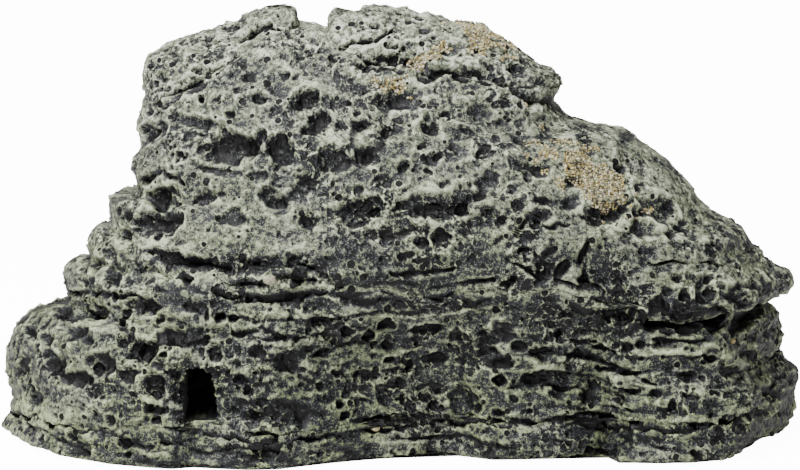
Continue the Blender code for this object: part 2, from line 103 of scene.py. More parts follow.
def bubbles(p, cell, seed, share, low, high):
    """Bubble pits, as bowl depth and rim height: a ball of random radius in some cells of a jittered lattice.

    Inside a ball the depth is a shallow spherical bowl; just outside it a thin rim is raised.
    """
    q = p / cell
    base = np.floor(q)
    bowl = np.zeros(p.shape[:-1])
    rim = np.zeros(p.shape[:-1])
    for dx in (-1, 0, 1):
        for dy in (-1, 0, 1):
            for dz in (-1, 0, 1):
                cx, cy, cz = base[..., 0] + dx, base[..., 1] + dy, base[..., 2] + dz
                there = lattice(cx, cy, cz, seed) < share
                radius = low + (high - low) * lattice(cx, cy, cz, seed + 1) ** 2
                jx = cx + 0.15 + 0.7 * lattice(cx, cy, cz, seed + 2)
                jy = cy + 0.15 + 0.7 * lattice(cx, cy, cz, seed + 3)
                jz = cz + 0.15 + 0.7 * lattice(cx, cy, cz, seed + 4)
                reach = np.sqrt((q[..., 0] - jx) ** 2 + (q[..., 1] - jy) ** 2 + (q[..., 2] - jz) ** 2)
                t = reach / radius
                inside = np.clip(1.0 - t * t, 0.0, 1.0) ** 0.8 * radius * cell
                bowl = np.maximum(bowl, np.where(there, inside, 0.0))
                edge = np.exp(-(((t - 1.12) / 0.16) ** 2)) * radius * cell
                rim = np.maximum(rim, np.where(there, edge, 0.0))
    return bowl, rim


# ---------------------------------------------------------------- listed forms on the front elevation

# Pits: x, s, half-width, half-height, turn in degrees, depth
PITS = (
    # upper boulder, left part
    (-28.7, 103.3, 4.4, 3.8, 0, 2.6), (-24.9, 96.4, 3.8, 3.6, 0, 2.6), (-42.8, 103.3, 2.6, 2.4, 0, 1.8),
    (-52.0, 98.3, 2.0, 1.9, 0, 1.5), (-61.4, 95.8, 7.6, 2.2, -12, 2.2), (-52.3, 87.9, 9.6, 5.2, 8, 3.4),
    (-37.2, 87.9, 4.7, 4.6, 0, 2.6), (-55.8, 81.3, 7.4, 1.5, -6, 1.8), (-28.0, 77.5, 3.4, 1.8, -30, 1.6),
    (-66.0, 85.0, 2.2, 2.0, 0, 1.4), (-70.0, 104.0, 2.0, 1.4, 0, 1.2), (-47.0, 110.0, 2.4, 1.6, 20, 1.2),
    (-35.0, 110.5, 2.0, 1.6, 0, 1.2), (-44.5, 79.0, 2.4, 2.0, 0, 1.4), (-38.0, 72.0, 4.6, 3.2, -20, 2.4),
    (-59.0, 73.0, 3.4, 2.0, 10, 1.8), (-50.0, 66.5, 4.0, 2.2, -8, 2.0), (-28.0, 66.0, 3.4, 2.4, 15, 1.8),
    # upper boulder, middle
    (-19.5, 85.4, 3.6, 4.1, 0, 2.4), (-10.4, 85.4, 3.6, 2.9, 0, 2.2), (-0.6, 103.3, 6.9, 4.2, 8, 3.0),
    (-4.1, 93.6, 2.0, 1.9, 0, 1.6), (1.0, 82.5, 2.6, 2.2, 0, 1.6), (-4.4, 77.8, 2.4, 1.9, 0, 1.5),
    (-11.3, 69.3, 8.4, 4.2, -6, 3.2), (11.7, 69.9, 12.6, 4.6, 4, 3.0), (13.2, 76.5, 2.0, 1.4, 0, 1.2),
    (-12.5, 95.5, 3.4, 2.4, 10, 1.8), (9.5, 94.5, 3.6, 2.4, -15, 1.7), (10.0, 84.5, 3.0, 2.6, 0, 1.8),
    (-7.6, 61.4, 3.2, 1.9, 0, 1.6), (12.6, 60.8, 2.9, 2.6, 0, 1.9), (1.5, 62.0, 2.4, 1.4, 0, 1.2),
    # upper boulder, right
    (26.8, 77.5, 3.3, 3.0, 0, 2.0), (40.6, 81.6, 6.6, 2.6, -20, 2.4), (35.6, 70.2, 2.0, 1.9, 0, 1.5),
    (30.2, 65.8, 2.9, 2.6, 0, 2.0), (42.8, 67.4, 3.3, 3.0, 0, 2.2), (44.1, 71.8, 4.1, 1.9, -12, 1.6),
    (31.2, 96.1, 1.7, 1.0, 0, 1.0), (20.5, 93.6, 3.2, 1.2, -32, 1.3), (25.2, 86.6, 2.6, 2.4, 0, 1.7),
    (80.3, 69.9, 8.6, 3.6, -46, 2.8), (63.6, 68.7, 7.2, 3.6, -10, 2.6), (74.3, 63.6, 3.9, 3.4, 0, 2.2),
    (36.5, 90.5, 3.0, 1.6, -25, 1.4), (54.0, 78.0, 3.6, 2.0, -30, 1.5), (90.0, 62.0, 3.4, 2.0, -40, 1.5),
    (97.0, 58.0, 2.4, 1.5, -20, 1.2), (68.0, 82.0, 2.6, 1.8, -30, 1.3), (52.5, 71.0, 3.0, 2.2, 0, 1.8),
    (86.0, 58.0, 2.6, 1.6, -20, 1.3), (58.0, 88.0, 2.6, 1.5, -30, 1.2),
    # left end, ledges and the cavities beside them
    (-76.5, 92.9, 4.8, 3.1, 0, 3.0), (-73.7, 73.0, 4.6, 2.6, 0, 2.6), (-73.4, 65.3, 6.6, 5.2, 0, 4.0),
    (-83.5, 66.8, 1.6, 1.7, 0, 1.5), (-83.5, 61.0, 1.6, 1.7, 0, 1.5), (-89.0, 55.0, 1.7, 1.7, 0, 1.4),
    (-88.0, 48.5, 3.0, 2.7, 0, 2.0), (-96.5, 47.0, 2.4, 2.0, 0, 1.6), (-62.4, 52.3, 13.6, 2.3, -9, 3.4),
    (-37.2, 46.0, 11.6, 6.4, -8, 2.6), (-33.7, 47.0, 2.6, 2.6, 0, 2.6), (-30.5, 50.4, 2.3, 2.2, 0, 2.2),
    (-52.0, 43.5, 3.6, 1.8, -10, 1.8), (-76.0, 50.5, 3.4, 2.0, 0, 2.0),
    # lower left lobe
    (-109.0, 29.0, 2.0, 2.0, 0, 1.7), (-84.7, 32.8, 1.8, 1.7, 0, 1.5), (-79.0, 39.7, 4.4, 3.6, 0, 2.8),
    (-83.8, 29.0, 2.6, 2.2, 0, 1.8), (-91.4, 21.4, 4.4, 3.5, 0, 2.6), (-78.8, 25.8, 5.0, 3.8, -10, 3.0),
    (-75.9, 15.8, 3.8, 4.1, 0, 2.8), (-83.5, 19.0, 2.6, 2.5, 0, 1.8), (-107.4, 21.4, 3.8, 4.4, 10, 2.8),
    (-117.2, 20.5, 2.0, 3.2, 0, 1.8), (-100.2, 17.3, 5.0, 2.7, 0, 2.4), (-111.8, 10.7, 2.6, 2.4, 0, 1.8),
    (-74.7, 7.9, 3.5, 2.4, 0, 2.0), (-67.4, 30.6, 7.2, 4.2, 0, 3.2), (-99.0, 31.5, 3.4, 2.4, 0, 1.8),
    (-92.5, 37.0, 2.8, 2.0, 0, 1.6), (-104.5, 37.0, 2.6, 1.8, 0, 1.4), (-115.5, 31.5, 2.0, 1.8, 0, 1.4),
    # lower centre
    (-48.8, 17.3, 1.8, 1.7, 0, 1.6), (-46.6, 13.2, 2.0, 1.9, 0, 1.6), (-33.7, 22.0, 4.2, 3.8, 0, 2.4),
    (-34.0, 7.2, 10.6, 5.0, 0, 1.5), (-18.3, 8.8, 2.0, 1.1, 0, 1.2), (24.3, 8.2, 1.7, 1.7, 0, 1.5),
    (10.0, 9.1, 1.1, 1.0, 0, 1.0), (12.9, 8.5, 0.8, 0.8, 0, 0.8), (29.6, 6.6, 1.1, 1.0, 0, 1.0),
    (-43.5, 26.0, 3.4, 2.2, 0, 1.8), (-24.0, 34.5, 4.0, 2.0, -5, 1.8), (-56.5, 25.0, 2.6, 2.2, 0, 1.8),
    (-9.0, 18.0, 3.4, 1.8, 0, 1.6), (0.5, 15.5, 2.4, 1.5, 0, 1.3), (-3.8, 26.1, 1.7, 1.6, 0, 1.5),
    (5.7, 28.0, 1.3, 1.3, 0, 1.2), (9.0, 32.0, 4.8, 1.7, 6, 2.2), (4.0, 21.5, 2.6, 2.2, 0, 1.7),
    # lower right of centre
    (32.1, 30.9, 2.9, 2.9, 0, 2.2), (25.6, 28.4, 3.0, 4.2, 14, 2.6), (36.2, 27.1, 2.6, 1.5, -10, 1.8),
    (30.6, 22.0, 5.0, 2.5, 0, 2.6), (11.3, 23.3, 3.3, 2.0, 0, 1.9), (49.5, 30.6, 1.7, 1.6, 0, 1.4),
    (56.7, 42.2, 5.6, 4.0, 0, 3.6), (44.0, 24.5, 4.0, 2.2, -20, 1.8), (40.0, 17.0, 4.0, 2.0, 0, 1.6),
    (53.0, 22.5, 3.0, 2.4, 0, 1.8), (48.5, 13.0, 3.0, 2.0, 0, 1.6), (59.0, 12.0, 3.0, 3.0, 0, 2.0),
    (43.5, 48.5, 4.6, 1.8, 50, 2.2), (49.5, 50.5, 4.8, 1.7, 62, 2.4), (46.0, 56.5, 3.4, 1.6, 30, 1.8),
    (24.5, 44.0, 7.0, 1.3, 8, 2.0), (33.0, 46.5, 4.0, 1.4, 12, 1.8),
    # right ledge and the hollows under it
    (85.0, 48.2, 1.9, 1.7, 0, 1.4), (89.5, 47.3, 2.0, 1.8, 0, 1.5), (94.0, 45.0, 3.6, 4.4, 0, 2.6),
    (103.0, 42.6, 5.4, 3.2, -12, 2.6), (81.9, 44.4, 1.4, 1.4, 0, 1.1), (108.5, 45.5, 2.6, 1.4, -10, 1.2),
    (78.6, 36.0, 5.6, 5.0, 0, 3.0), (84.4, 36.9, 1.5, 1.3, 0, 1.4), (88.2, 34.0, 3.3, 2.8, 0, 2.8),
    (97.7, 35.6, 4.6, 3.8, 0, 2.4), (106.5, 35.6, 4.4, 3.8, 0, 2.4), (81.9, 28.4, 4.4, 2.4, -8, 2.4),
    (70.0, 26.8, 2.0, 1.9, 0, 1.7), (73.7, 28.0, 2.0, 1.8, 0, 1.7), (94.8, 24.9, 2.1, 1.9, 0, 1.7),
    (114.0, 12.6, 2.6, 2.2, 0, 2.4), (110.9, 6.3, 3.9, 1.5, 0, 1.6), (68.0, 35.5, 3.6, 2.4, 0, 2.6),
    (89.0, 17.5, 4.0, 1.8, 0, 1.5), (101.0, 19.5, 3.4, 2.0, 0, 1.6), (108.0, 24.5, 2.8, 2.4, 0, 1.8),
    # caps
    (-70.5, 118.5, 2.4, 1.5, 0, 1.1), (-58.0, 121.0, 3.0, 1.4, 15, 1.1), (-62.0, 112.0, 2.6, 1.8, 10, 1.4),
    (-74.0, 110.0, 2.2, 2.0, 0, 1.4), (-52.0, 126.5, 2.4, 1.2, 10, 0.9), (8.0, 124.0, 3.0, 1.8, 0, 1.2),
    (36.0, 112.5, 3.4, 1.6, -20, 1.5), (43.5, 108.5, 2.8, 1.5, -15, 1.4), (27.5, 114.0, 3.0, 1.6, -10, 1.4),
    (15.0, 118.0, 2.6, 1.6, 0, 1.3), (1.0, 119.0, 3.2, 1.5, 0, 1.3), (-8.0, 125.5, 2.2, 1.2, 0, 0.9),
)

# Crevices and cracks: half-width, depth, then the (x, s) points of the line
CREVICES = (
    (1.1, 3.4, ((-72.0, 102.0), (-69.5, 105.0), (-64.0, 107.6), (-59.0, 111.8), (-54.0, 114.0))),
    (0.8, 2.6, ((-50.5, 120.3), (-48.0, 123.0), (-44.7, 126.0), (-41.0, 126.6), (-33.0, 123.8))),
    (1.5, 3.6, ((-14.0, 112.6), (-9.0, 114.6), (-4.7, 115.9), (3.2, 115.9), (8.0, 110.4), (12.6, 112.0))),
    (1.4, 3.4, ((12.6, 112.0), (23.6, 111.0), (31.5, 108.6), (36.2, 106.4), (42.5, 104.0), (48.0, 105.8))),
    (0.5, 1.6, ((-17.3, 120.0), (-7.9, 121.0), (-1.6, 125.0))),
    (0.6, 1.8, ((35.6, 61.4), (39.0, 66.8), (42.8, 64.3), (46.6, 64.0), (50.7, 64.0))),
    (0.9, 2.4, ((-76.0, 56.4), (-66.0, 52.6), (-57.0, 51.0), (-48.5, 49.0))),
    (0.6, 1.8, ((-51.3, 31.8), (-41.0, 31.4), (-29.6, 29.0))),
    (0.5, 1.5, ((-31.2, 26.1), (-21.4, 24.6))),
    (0.6, 1.8, ((-19.8, 20.2), (-17.0, 16.4), (-17.0, 12.9), (-14.5, 11.0), (-10.7, 10.4))),
    (0.5, 1.6, ((-3.2, 49.8), (9.5, 50.0), (17.0, 51.5))),
    (0.6, 1.9, ((-9.0, 43.6), (0.0, 43.4), (12.6, 44.1), (21.0, 46.6), (30.0, 48.6))),
    (0.7, 2.2, ((20.0, 42.4), (27.0, 43.8), (34.0, 45.6))),
    (0.8, 2.4, ((58.0, 59.9), (55.1, 52.9), (56.7, 48.8), (59.5, 42.5))),
    (0.8, 2.4, ((35.0, 52.0), (43.0, 49.5), (52.0, 46.5), (60.0, 41.0))),
    (0.7, 2.0, ((38.0, 58.0), (42.0, 54.0), (44.5, 49.5))),
    (0.7, 2.0, ((61.1, 21.1), (69.0, 18.6), (77.5, 14.8))),
    (0.6, 1.6, ((-123.0, 6.0), (-112.0, 4.0), (-98.0, 1.8), (-84.0, 0.6))),
    (0.6, 1.6, ((-60.0, 1.0), (-45.0, 0.0), (-28.0, -0.4), (-12.0, 1.6), (2.0, 1.8))),
    (0.7, 2.0, ((62.0, 4.0), (74.0, 2.4), (88.0, 2.6), (100.0, 3.6), (111.0, 8.2))),
    (0.7, 2.0, ((-8.0, 4.8), (8.0, 4.6), (26.0, 3.8), (44.0, 3.4), (58.0, 5.6))),
    (0.7, 2.2, ((-80.0, 79.0), (-74.0, 79.8), (-66.0, 77.6))),
    (0.7, 2.0, ((-106.0, 43.6), (-98.0, 43.0), (-88.0, 42.2), (-80.0, 43.4))),
)

# Threads of flash left by the mould: half-width, rise, points
THREADS = (
    (0.35, 0.7, (
        (-1.6, 38.4), (0.6, 36.2), (4.7, 35.6), (9.5, 36.9), (15.8, 37.2), (20.8, 38.4), (28.0, 39.1),
    )),
)

# Soft swells and hollows: x, s, half-width, half-height, rise (negative sinks)
SWELLS = (
    (-14.2, 50.5, 10.4, 3.4, 1.6), (-67.0, 84.5, 7.0, 4.5, 2.2), (-104.0, 8.0, 16.0, 5.0, 1.6),
    (-68.0, 8.0, 8.0, 3.0, 0.8), (90.0, 8.0, 18.0, 6.0, 1.6), (-32.0, 57.0, 16.0, 4.0, 1.4),
    (10.0, 76.0, 18.0, 4.0, 1.2), (-30.0, 92.0, 9.0, 8.0, 1.0), (20.0, 104.0, 12.0, 5.0, 1.0),
    (60.0, 60.0, 8.0, 4.0, 1.2), (52.0, 90.0, 10.0, 6.0, 1.2), (-60.0, 60.0, 10.0, 5.0, 1.6),
    (45.0, 36.0, 14.0, 5.0, -1.6), (-62.0, 12.5, 7.5, 9.0, -2.4), (95.0, 33.0, 20.0, 5.0, -2.4),
    (-18.0, 44.0, 18.0, 4.0, -0.8), (-37.0, 46.0, 13.0, 7.0, -1.8), (8.0, 30.0, 16.0, 6.0, -1.0),
)

# Where the rock is painted darker, partly the charcoal base coat showing and partly painted shade under the
# right ledge, under overhangs and in recesses: x, s, half-width, half-height, strength
BASE_COAT_AND_PAINTED_SHADE = (
    (-28.0, 48.0, 36.0, 7.0, 0.68), (88.0, 39.0, 22.0, 4.0, 1.10), (64.0, 42.0, 10.0, 8.0, 0.30),
    (-25.0, 85.0, 30.0, 16.0, 0.24), (-37.0, 46.0, 13.0, 8.0, 0.45), (-62.0, 12.0, 7.0, 9.0, 0.40),
    (-73.0, 66.0, 8.0, 7.0, 0.40), (-34.0, 7.0, 12.0, 6.0, 0.40), (57.0, 44.0, 9.0, 8.0, 0.45),
    (45.0, 52.0, 9.0, 8.0, 0.30), (30.0, 24.0, 12.0, 8.0, 0.15), (55.0, 22.0, 16.0, 14.0, 0.12),
    (95.0, 33.0, 22.0, 6.0, 0.40), (-52.0, 88.0, 11.0, 6.0, 0.30), (-62.0, 52.0, 15.0, 4.0, 0.35),
    (12.0, 69.0, 14.0, 5.0, 0.25), (-11.0, 69.0, 9.0, 5.0, 0.22), (-67.0, 31.0, 8.0, 5.0, 0.30),
    (5.0, 44.0, 40.0, 12.0, 0.16), (20.0, 110.0, 30.0, 4.0, 0.35), (64.0, 69.0, 8.0, 4.0, 0.22),
    (112.0, 9.0, 7.0, 7.0, 0.25), (0.0, 30.0, 60.0, 14.0, 0.12), (80.0, 20.0, 30.0, 10.0, 0.04),
)

# Where the rock is painted paler, partly the green at its thickest and partly painted light on slopes and
# ledge tops that face up: x, s, half-width, half-height, strength
SAGE_AND_PAINTED_LIGHT = (
    (-44.0, 68.0, 20.0, 8.0, 0.30), (85.0, 48.0, 26.0, 5.0, 0.14), (90.0, 22.0, 24.0, 10.0, 0.20),
    (-95.0, 0.0, 26.0, 8.0, 0.16), (60.0, 80.0, 34.0, 16.0, 0.08), (-14.2, 50.5, 10.4, 3.4, 0.40),
    (-19.0, 123.0, 13.0, 5.0, 0.30), (-58.0, 122.0, 20.0, 9.0, 0.08), (-104.0, 7.0, 18.0, 5.0, 0.30),
    (78.0, 74.0, 26.0, 14.0, 0.32), (-36.0, 60.0, 24.0, 5.0, 0.25), (4.0, 37.0, 26.0, 3.0, 0.22),
    (-66.0, 84.0, 8.0, 5.0, 0.22), (-44.0, 36.0, 16.0, 3.0, 0.22), (95.0, 49.0, 24.0, 4.0, 0.20),
    (-97.0, 62.0, 12.0, 12.0, 0.55), (90.0, 6.0, 20.0, 4.0, 0.06), (10.0, 126.0, 24.0, 6.0, 0.14),
    (-90.0, 30.0, 30.0, 12.0, 0.08),
)


def turned(dx, dy, degrees):
    """The offset seen from axes turned by that many degrees."""
    c, s = np.cos(np.radians(degrees)), np.sin(np.radians(degrees))
    return c * dx + s * dy, c * dy - s * dx


def line_distance(x, s, points):
    """Shortest distance from each (x, s) to a broken line, and how far along it from 0 to 1."""
    best = np.full(x.shape, 1e9)
    along = np.zeros(x.shape)
    pts = np.array(points)
    for k, (a, b) in enumerate(zip(pts[:-1], pts[1:])):
        d = b - a
        t = np.clip(((x - a[0]) * d[0] + (s - a[1]) * d[1]) / d.dot(d), 0.0, 1.0)
        gap = np.hypot(x - a[0] - t * d[0], s - a[1] - t * d[1])
        along = np.where(gap < best, (k + t) / (len(pts) - 1), along)
        best = np.minimum(best, gap)
    return best, along


def near(x, s, cx, cs, reach):
    """True within a square of half-width reach about (cx, cs)."""
    return (np.abs(x - cx) < reach) & (np.abs(s - cs) < reach)


def hand_forms(x, s, wobble):
    """Rise in mm at each elevation point from the swells, pits, crevices and threads above."""
    rise = np.zeros(x.shape)
    for cx, cs, rx, rs, height in SWELLS:
        rise += height * np.exp(-(((x - cx) / rx) ** 2) - ((s - cs) / rs) ** 2)
    pit = np.zeros(x.shape)
    rim = np.zeros(x.shape)
    for cx, cs, rx, rs, turn, depth in PITS:
        here = near(x, s, cx, cs, 2.1 * max(rx, rs))
        dx, dy = turned(x[here] - cx, s[here] - cs, turn)
        t = np.sqrt((dx / rx) ** 2 + (dy / rs) ** 2) * (1.0 + 0.42 * wobble[here]) / 1.18
        bowl = 1.15 * depth * np.clip(1.0 - t * t, 0.0, 1.0) ** 1.15
        pit[here] = np.maximum(pit[here], bowl)
        edge = 0.15 * depth * np.clip(0.6 + wobble[here], 0.0, 1.0)
        rim[here] = np.maximum(rim[here], edge * np.exp(-(((t - 1.08) / 0.13) ** 2)))
    for half, depth, points in CREVICES:
        pts = np.array(points)
        low, high = pts.min(0) - 6.0, pts.max(0) + 6.0
        here = (x > low[0]) & (x < high[0]) & (s > low[1]) & (s < high[1])
        gap, along = line_distance(x[here] + 1.3 * wobble[here], s[here] + 1.1 * wobble[here], points)
        width = half * (0.45 + 0.85 * np.sin(np.pi * np.clip(along, 0.04, 0.96)) ** 0.5)
        cut = depth * np.exp(-((gap / width) ** 2)) * np.clip(1.0 + 0.6 * wobble[here], 0.2, 1.5)
        pit[here] = np.maximum(pit[here], cut)
        rim[here] = np.maximum(rim[here], 0.12 * depth * np.exp(-(((gap - 2.1 * width) / width) ** 2)))
    rise += np.where(pit > 0.05, 0.0, rim) - pit
    for half, height, points in THREADS:
        pts = np.array(points)
        here = (x > pts[0, 0] - 2.0) & (x < pts[-1, 0] + 2.0) & (np.abs(s - pts[:, 1].mean()) < 5.0)
        gap, _ = line_distance(x[here], s[here] + 0.2 * wobble[here], points)
        rise[here] += height * np.exp(-((gap / half) ** 2))
    return rise


def zone(x, s, table):
    """Sum of soft ovals, each a strength that falls off from its middle."""
    total = np.zeros(x.shape)
    for cx, cs, rx, rs, strength in table:
        total += strength * np.exp(-(((x - cx) / rx) ** 2) - ((s - cs) / rs) ** 2)
    return total


# ---------------------------------------------------------------- the rock surface everywhere


def strata(p, seed, thick):
    """Layered ledges in the lower rock: each layer has its own reach, and thin broken crevices part them."""
    x, y, z = p[..., 0], p[..., 1], p[..., 2]
    bend = 3.4 * noise(p * np.array([1.0, 1.0, 0.4]), 38.0, seed) + 2.6 * noise(p, 15.0, seed + 1)
    h = z + 0.055 * x + bend + 0.9 * noise(p, 5.0, seed + 6)
    level = h / thick
    layer = np.floor(level)
    f = level - layer
    here = 0.5 + 0.75 * noise(np.stack([x, y, 97.0 * layer], -1), 4.0 * thick, seed + 3)
    above = 0.5 + 0.75 * noise(np.stack([x, y, 97.0 * layer + 97.0], -1), 4.0 * thick, seed + 3)
    step = np.clip((f - 0.74) / 0.26, 0.0, 1.0)
    shelf = here + (above - here) * step * step * (3.0 - 2.0 * step)
    parted = np.exp(-(((f - 0.88) / 0.10) ** 2))
    broken = np.clip(1.8 * noise(p * np.array([0.6, 0.6, 1.0]), 6.0, seed + 4), 0.0, 1.0)
    patchy = np.clip(0.75 + 0.8 * noise(p, 22.0, seed + 5), 0.15, 1.2)
    return (0.42 * thick * (shelf - 0.5) - 0.36 * thick * parted * broken) * patchy


def rock_rise(p, front):
    """How far in mm the rock stands off its smooth form. front is 1 where the listed forms belong."""
    x, y, z = p[..., 0], p[..., 1], p[..., 2]
    s = z * np.cos(DIP) + y * np.sin(DIP)
    wobble = noise(p, 4.6, SEED + 40) + 0.6 * noise(p, 2.1, SEED + 41)
    rise = 1.7 * layered(p, 34.0, 3, SEED)
    ridge = 1.0 - np.abs(layered(p, 12.0, 3, SEED + 5))
    rise += 2.0 * (ridge - 0.75)
    sharp = 1.0 - np.abs(layered(p * np.array([0.8, 0.8, 1.1]), 4.6, 3, SEED + 7, 0.6))
    rise += 1.25 * (sharp - 0.78)
    low = 1.0 / (1.0 + np.exp((z - 56.0 + 0.06 * x) / 4.0))
    low = low * (1.0 - 0.65 * ease((-66.0 - x) / 14.0) * ease((z - 10.0) / 6.0))
    bent = p + 1.2 * np.stack([wobble, noise(p, 4.0, SEED + 42), noise(p, 4.0, SEED + 43)], axis=-1)
    wide, wide_rim = bubbles(bent, 11.5, SEED + 11, 0.50, 0.20, 0.50)
    mid, mid_rim = bubbles(bent, 5.4, SEED + 17, 0.42, 0.18, 0.46)
    small, small_rim = bubbles(p + 0.3 * wobble[..., None], 2.4, SEED + 23, 0.66, 0.18, 0.42)
    away = 1.0 - 0.75 * front
    layers = 0.70 * strata(p, SEED + 9, 5.6) + 0.55 * strata(p + 7.3, SEED + 60, 2.7)
    rise += low * (layers - 0.4 * mid - 0.2 * wide)
    rise += away * (-0.85 * wide + 0.12 * wide_rim)
    rise += -0.80 * mid + 0.16 * mid_rim - 1.0 * small + 0.24 * small_rim
    rise += 0.22 * layered(p, 1.7, 2, SEED + 33, 0.6)
    rise += front * hand_forms(x, s, wobble)
    return rise


# ---------------------------------------------------------------- grids


def spread_rows(rows, count):
    """The rows' table filled in to count rows, evenly spaced along the front profile."""
    table = np.array(rows, float)
    middle = 0.5 * (table[:, 1] + table[:, 2])
    half = 0.5 * (table[:, 2] - table[:, 1])
    span = np.hypot(np.diff(table[:, 0]), np.maximum(np.abs(np.diff(table[:, 3])), np.abs(np.diff(half))))
    span = np.maximum(span, 0.25 * np.abs(np.diff(middle)))
    run = np.concatenate([[0.0], np.cumsum(span)])
    want = np.linspace(0.0, run[-1], count)
    return np.stack([np.interp(want, run, table[:, k]) for k in range(5)], -1)


def blur(a, reach, axis, wrap):
    """Three passes of a running mean over 2 reach + 1 samples along one axis."""
    for _ in range(3):
        pad = [(0, 0)] * a.ndim
        pad[axis] = (reach + 1, reach)
        wide = np.pad(a, pad, mode="wrap" if wrap else "edge")
        total = np.cumsum(wide, axis=axis)
        count = a.shape[axis]
        high = np.take(total, np.arange(2 * reach + 1, 2 * reach + 1 + count), axis=axis)
        low = np.take(total, np.arange(0, count), axis=axis)
        a = (high - low) / (2 * reach + 1)
    return a


def grid_normals(p, soften):
    """Outward directions of a grid that wraps around, from a softened copy of it."""
    soft = p
    if soften:
        soft = np.stack([blur(blur(p[..., k], soften, 0, False), soften, 1, True) for k in range(3)], -1)
    around = np.roll(soft, -1, axis=1) - np.roll(soft, 1, axis=1)
    up = np.gradient(soft, axis=0)
    n = np.cross(around, up)
    size = np.linalg.norm(n, axis=-1, keepdims=True)
    return n / np.maximum(size, 1e-9)


def grid_faces(rows, cols, closed_rows):
    """Quads of a grid that wraps around, and also from the last row to the first if closed_rows."""
    i = np.arange(rows if closed_rows else rows - 1)[:, None]
    j = np.arange(cols)[None, :]
    i2, j2 = (i + 1) % rows, (j + 1) % cols
    quads = np.stack([i * cols + j, i * cols + j2, i2 * cols + j2, i2 * cols + j], -1)
    return quads.reshape(-1, 4)


def make_mesh(name, points, quads, tris, values):
    """A mesh in metres from points in mm, quads, triangles, and one float attribute per named value."""
    mesh = bpy.data.meshes.new(name)
    corners = np.concatenate([quads.ravel(), tris.ravel()]).astype(np.int32)
    sizes = np.concatenate([np.full(len(quads), 4), np.full(len(tris), 3)]).astype(np.int32)
    starts = np.concatenate([[0], np.cumsum(sizes)[:-1]]).astype(np.int32)
    mesh.vertices.add(len(points))
    mesh.vertices.foreach_set("co", (points * MM).astype(np.float32).ravel())
    mesh.loops.add(len(corners))
    mesh.loops.foreach_set("vertex_index", corners)
    mesh.polygons.add(len(sizes))
    mesh.polygons.foreach_set("loop_start", starts)
    mesh.polygons.foreach_set("loop_total", sizes)
    mesh.update(calc_edges=True)
    for key, value in values.items():
        attribute = mesh.attributes.new(key, "FLOAT", "POINT")
        attribute.data.foreach_set("value", np.asarray(value, np.float32).ravel())
    mesh.polygons.foreach_set("use_smooth", np.ones(len(sizes), bool))
    obj = bpy.data.objects.new(name, mesh)
    bpy.context.scene.collection.objects.link(obj)
    return obj


# Finished points and outward directions of each casting, by name, for the gravel to sit on
SURFACES = {}
# The listed forms fade out over FRONT_FADE mm up to y = FRONT_END
FRONT_END = 22.0
FRONT_FADE = 14.0


def stand_out(rise, reach, pitch):
    """How far each point stands above the mean of its surroundings within reach mm."""
    rows, cols = (max(1, int(reach / step)) for step in pitch)
    return rise - blur(blur(rise, rows, 0, False), cols, 1, True)


def casting(name, base, worked, pitch, poles, closed_rows):
    """A cast piece: a base grid pushed out along its normals by rock_rise, with paint values kept per point.

    base is rows by columns by 3. worked (rows) fades the rock relief, 0 on joints and chamber walls. pitch is
    the usual (row, column) spacing in mm. poles adds a point that closes each end of the grid.
    """
    normal = grid_normals(base, 3)
    facing = -normal[..., 1] * np.cos(DIP) + normal[..., 2] * np.sin(DIP)
    near_front = np.clip((FRONT_END - base[..., 1]) / FRONT_FADE, 0.0, 1.0)
    front = np.clip((facing - 0.02) / 0.25, 0.0, 1.0) * near_front
    rise = rock_rise(base, front) * worked[:, None]
    p = base + normal * rise[..., None]
    s = base[..., 2] * np.cos(DIP) + base[..., 1] * np.sin(DIP)
    x = base[..., 0]
    values = {
        "fine": stand_out(rise, 1.1, pitch),
        "broad": stand_out(rise, 3.6, pitch),
        # Zone value: paler and darker ovals, partly the coats' real spread and partly painted light and
        # painted shade
        "shade": front * (zone(x, s, SAGE_AND_PAINTED_LIGHT) - zone(x, s, BASE_COAT_AND_PAINTED_SHADE)),
        "tall": np.clip(s / 130.0, 0.0, 1.0),
    }
    rows, cols = base.shape[:2]
    flat = p.reshape(-1, 3)
    tris = np.zeros((0, 3), int)
    ends = []
    if poles:
        first, last = len(flat), len(flat) + 1
        flat = np.concatenate([flat, p[0].mean(0)[None], p[-1].mean(0)[None]])
        j = np.arange(cols)
        j2 = (j + 1) % cols
        low = np.stack([np.full(cols, first), j2, j], -1)
        top = (rows - 1) * cols
        high = np.stack([np.full(cols, last), top + j, top + j2], -1)
        tris = np.concatenate([low, high])
        ends = [0, -1]
    flats = {}
    for key, value in values.items():
        flats[key] = np.concatenate([value.ravel()] + [[value[row].mean()] for row in ends])
    obj = make_mesh(name, flat, grid_faces(rows, cols, closed_rows), tris, flats)
    SURFACES[name] = (p, grid_normals(p, 1))
    return obj


# ---------------------------------------------------------------- the envelope of the hollow castings

# Outline of the foot's front edge: share of half-width, share of half-depth
FOOT_FRONT = (
    (-1.0, 0.0), (-0.98, -0.10), (-0.952, -0.27), (-0.904, -0.48), (-0.864, -0.64), (-0.80, -0.74),
    (-0.728, -0.85), (-0.624, -0.94), (-0.568, -0.97), (-0.528, -0.92), (-0.450, -0.96),
    (-0.376, -0.99), (-0.296, -0.97), (-0.176, -0.83), (-0.096, -0.74), (0.024, -0.68), (0.08, -0.63),
    (0.144, -0.63), (0.248, -0.75), (0.40, -0.72), (0.51, -0.63), (0.545, -0.70), (0.57, -0.82),
    (0.672, -0.83), (0.752, -0.82), (0.824, -0.76), (0.864, -0.67), (0.896, -0.50), (0.952, -0.22),
    (1.0, 0.0),
)

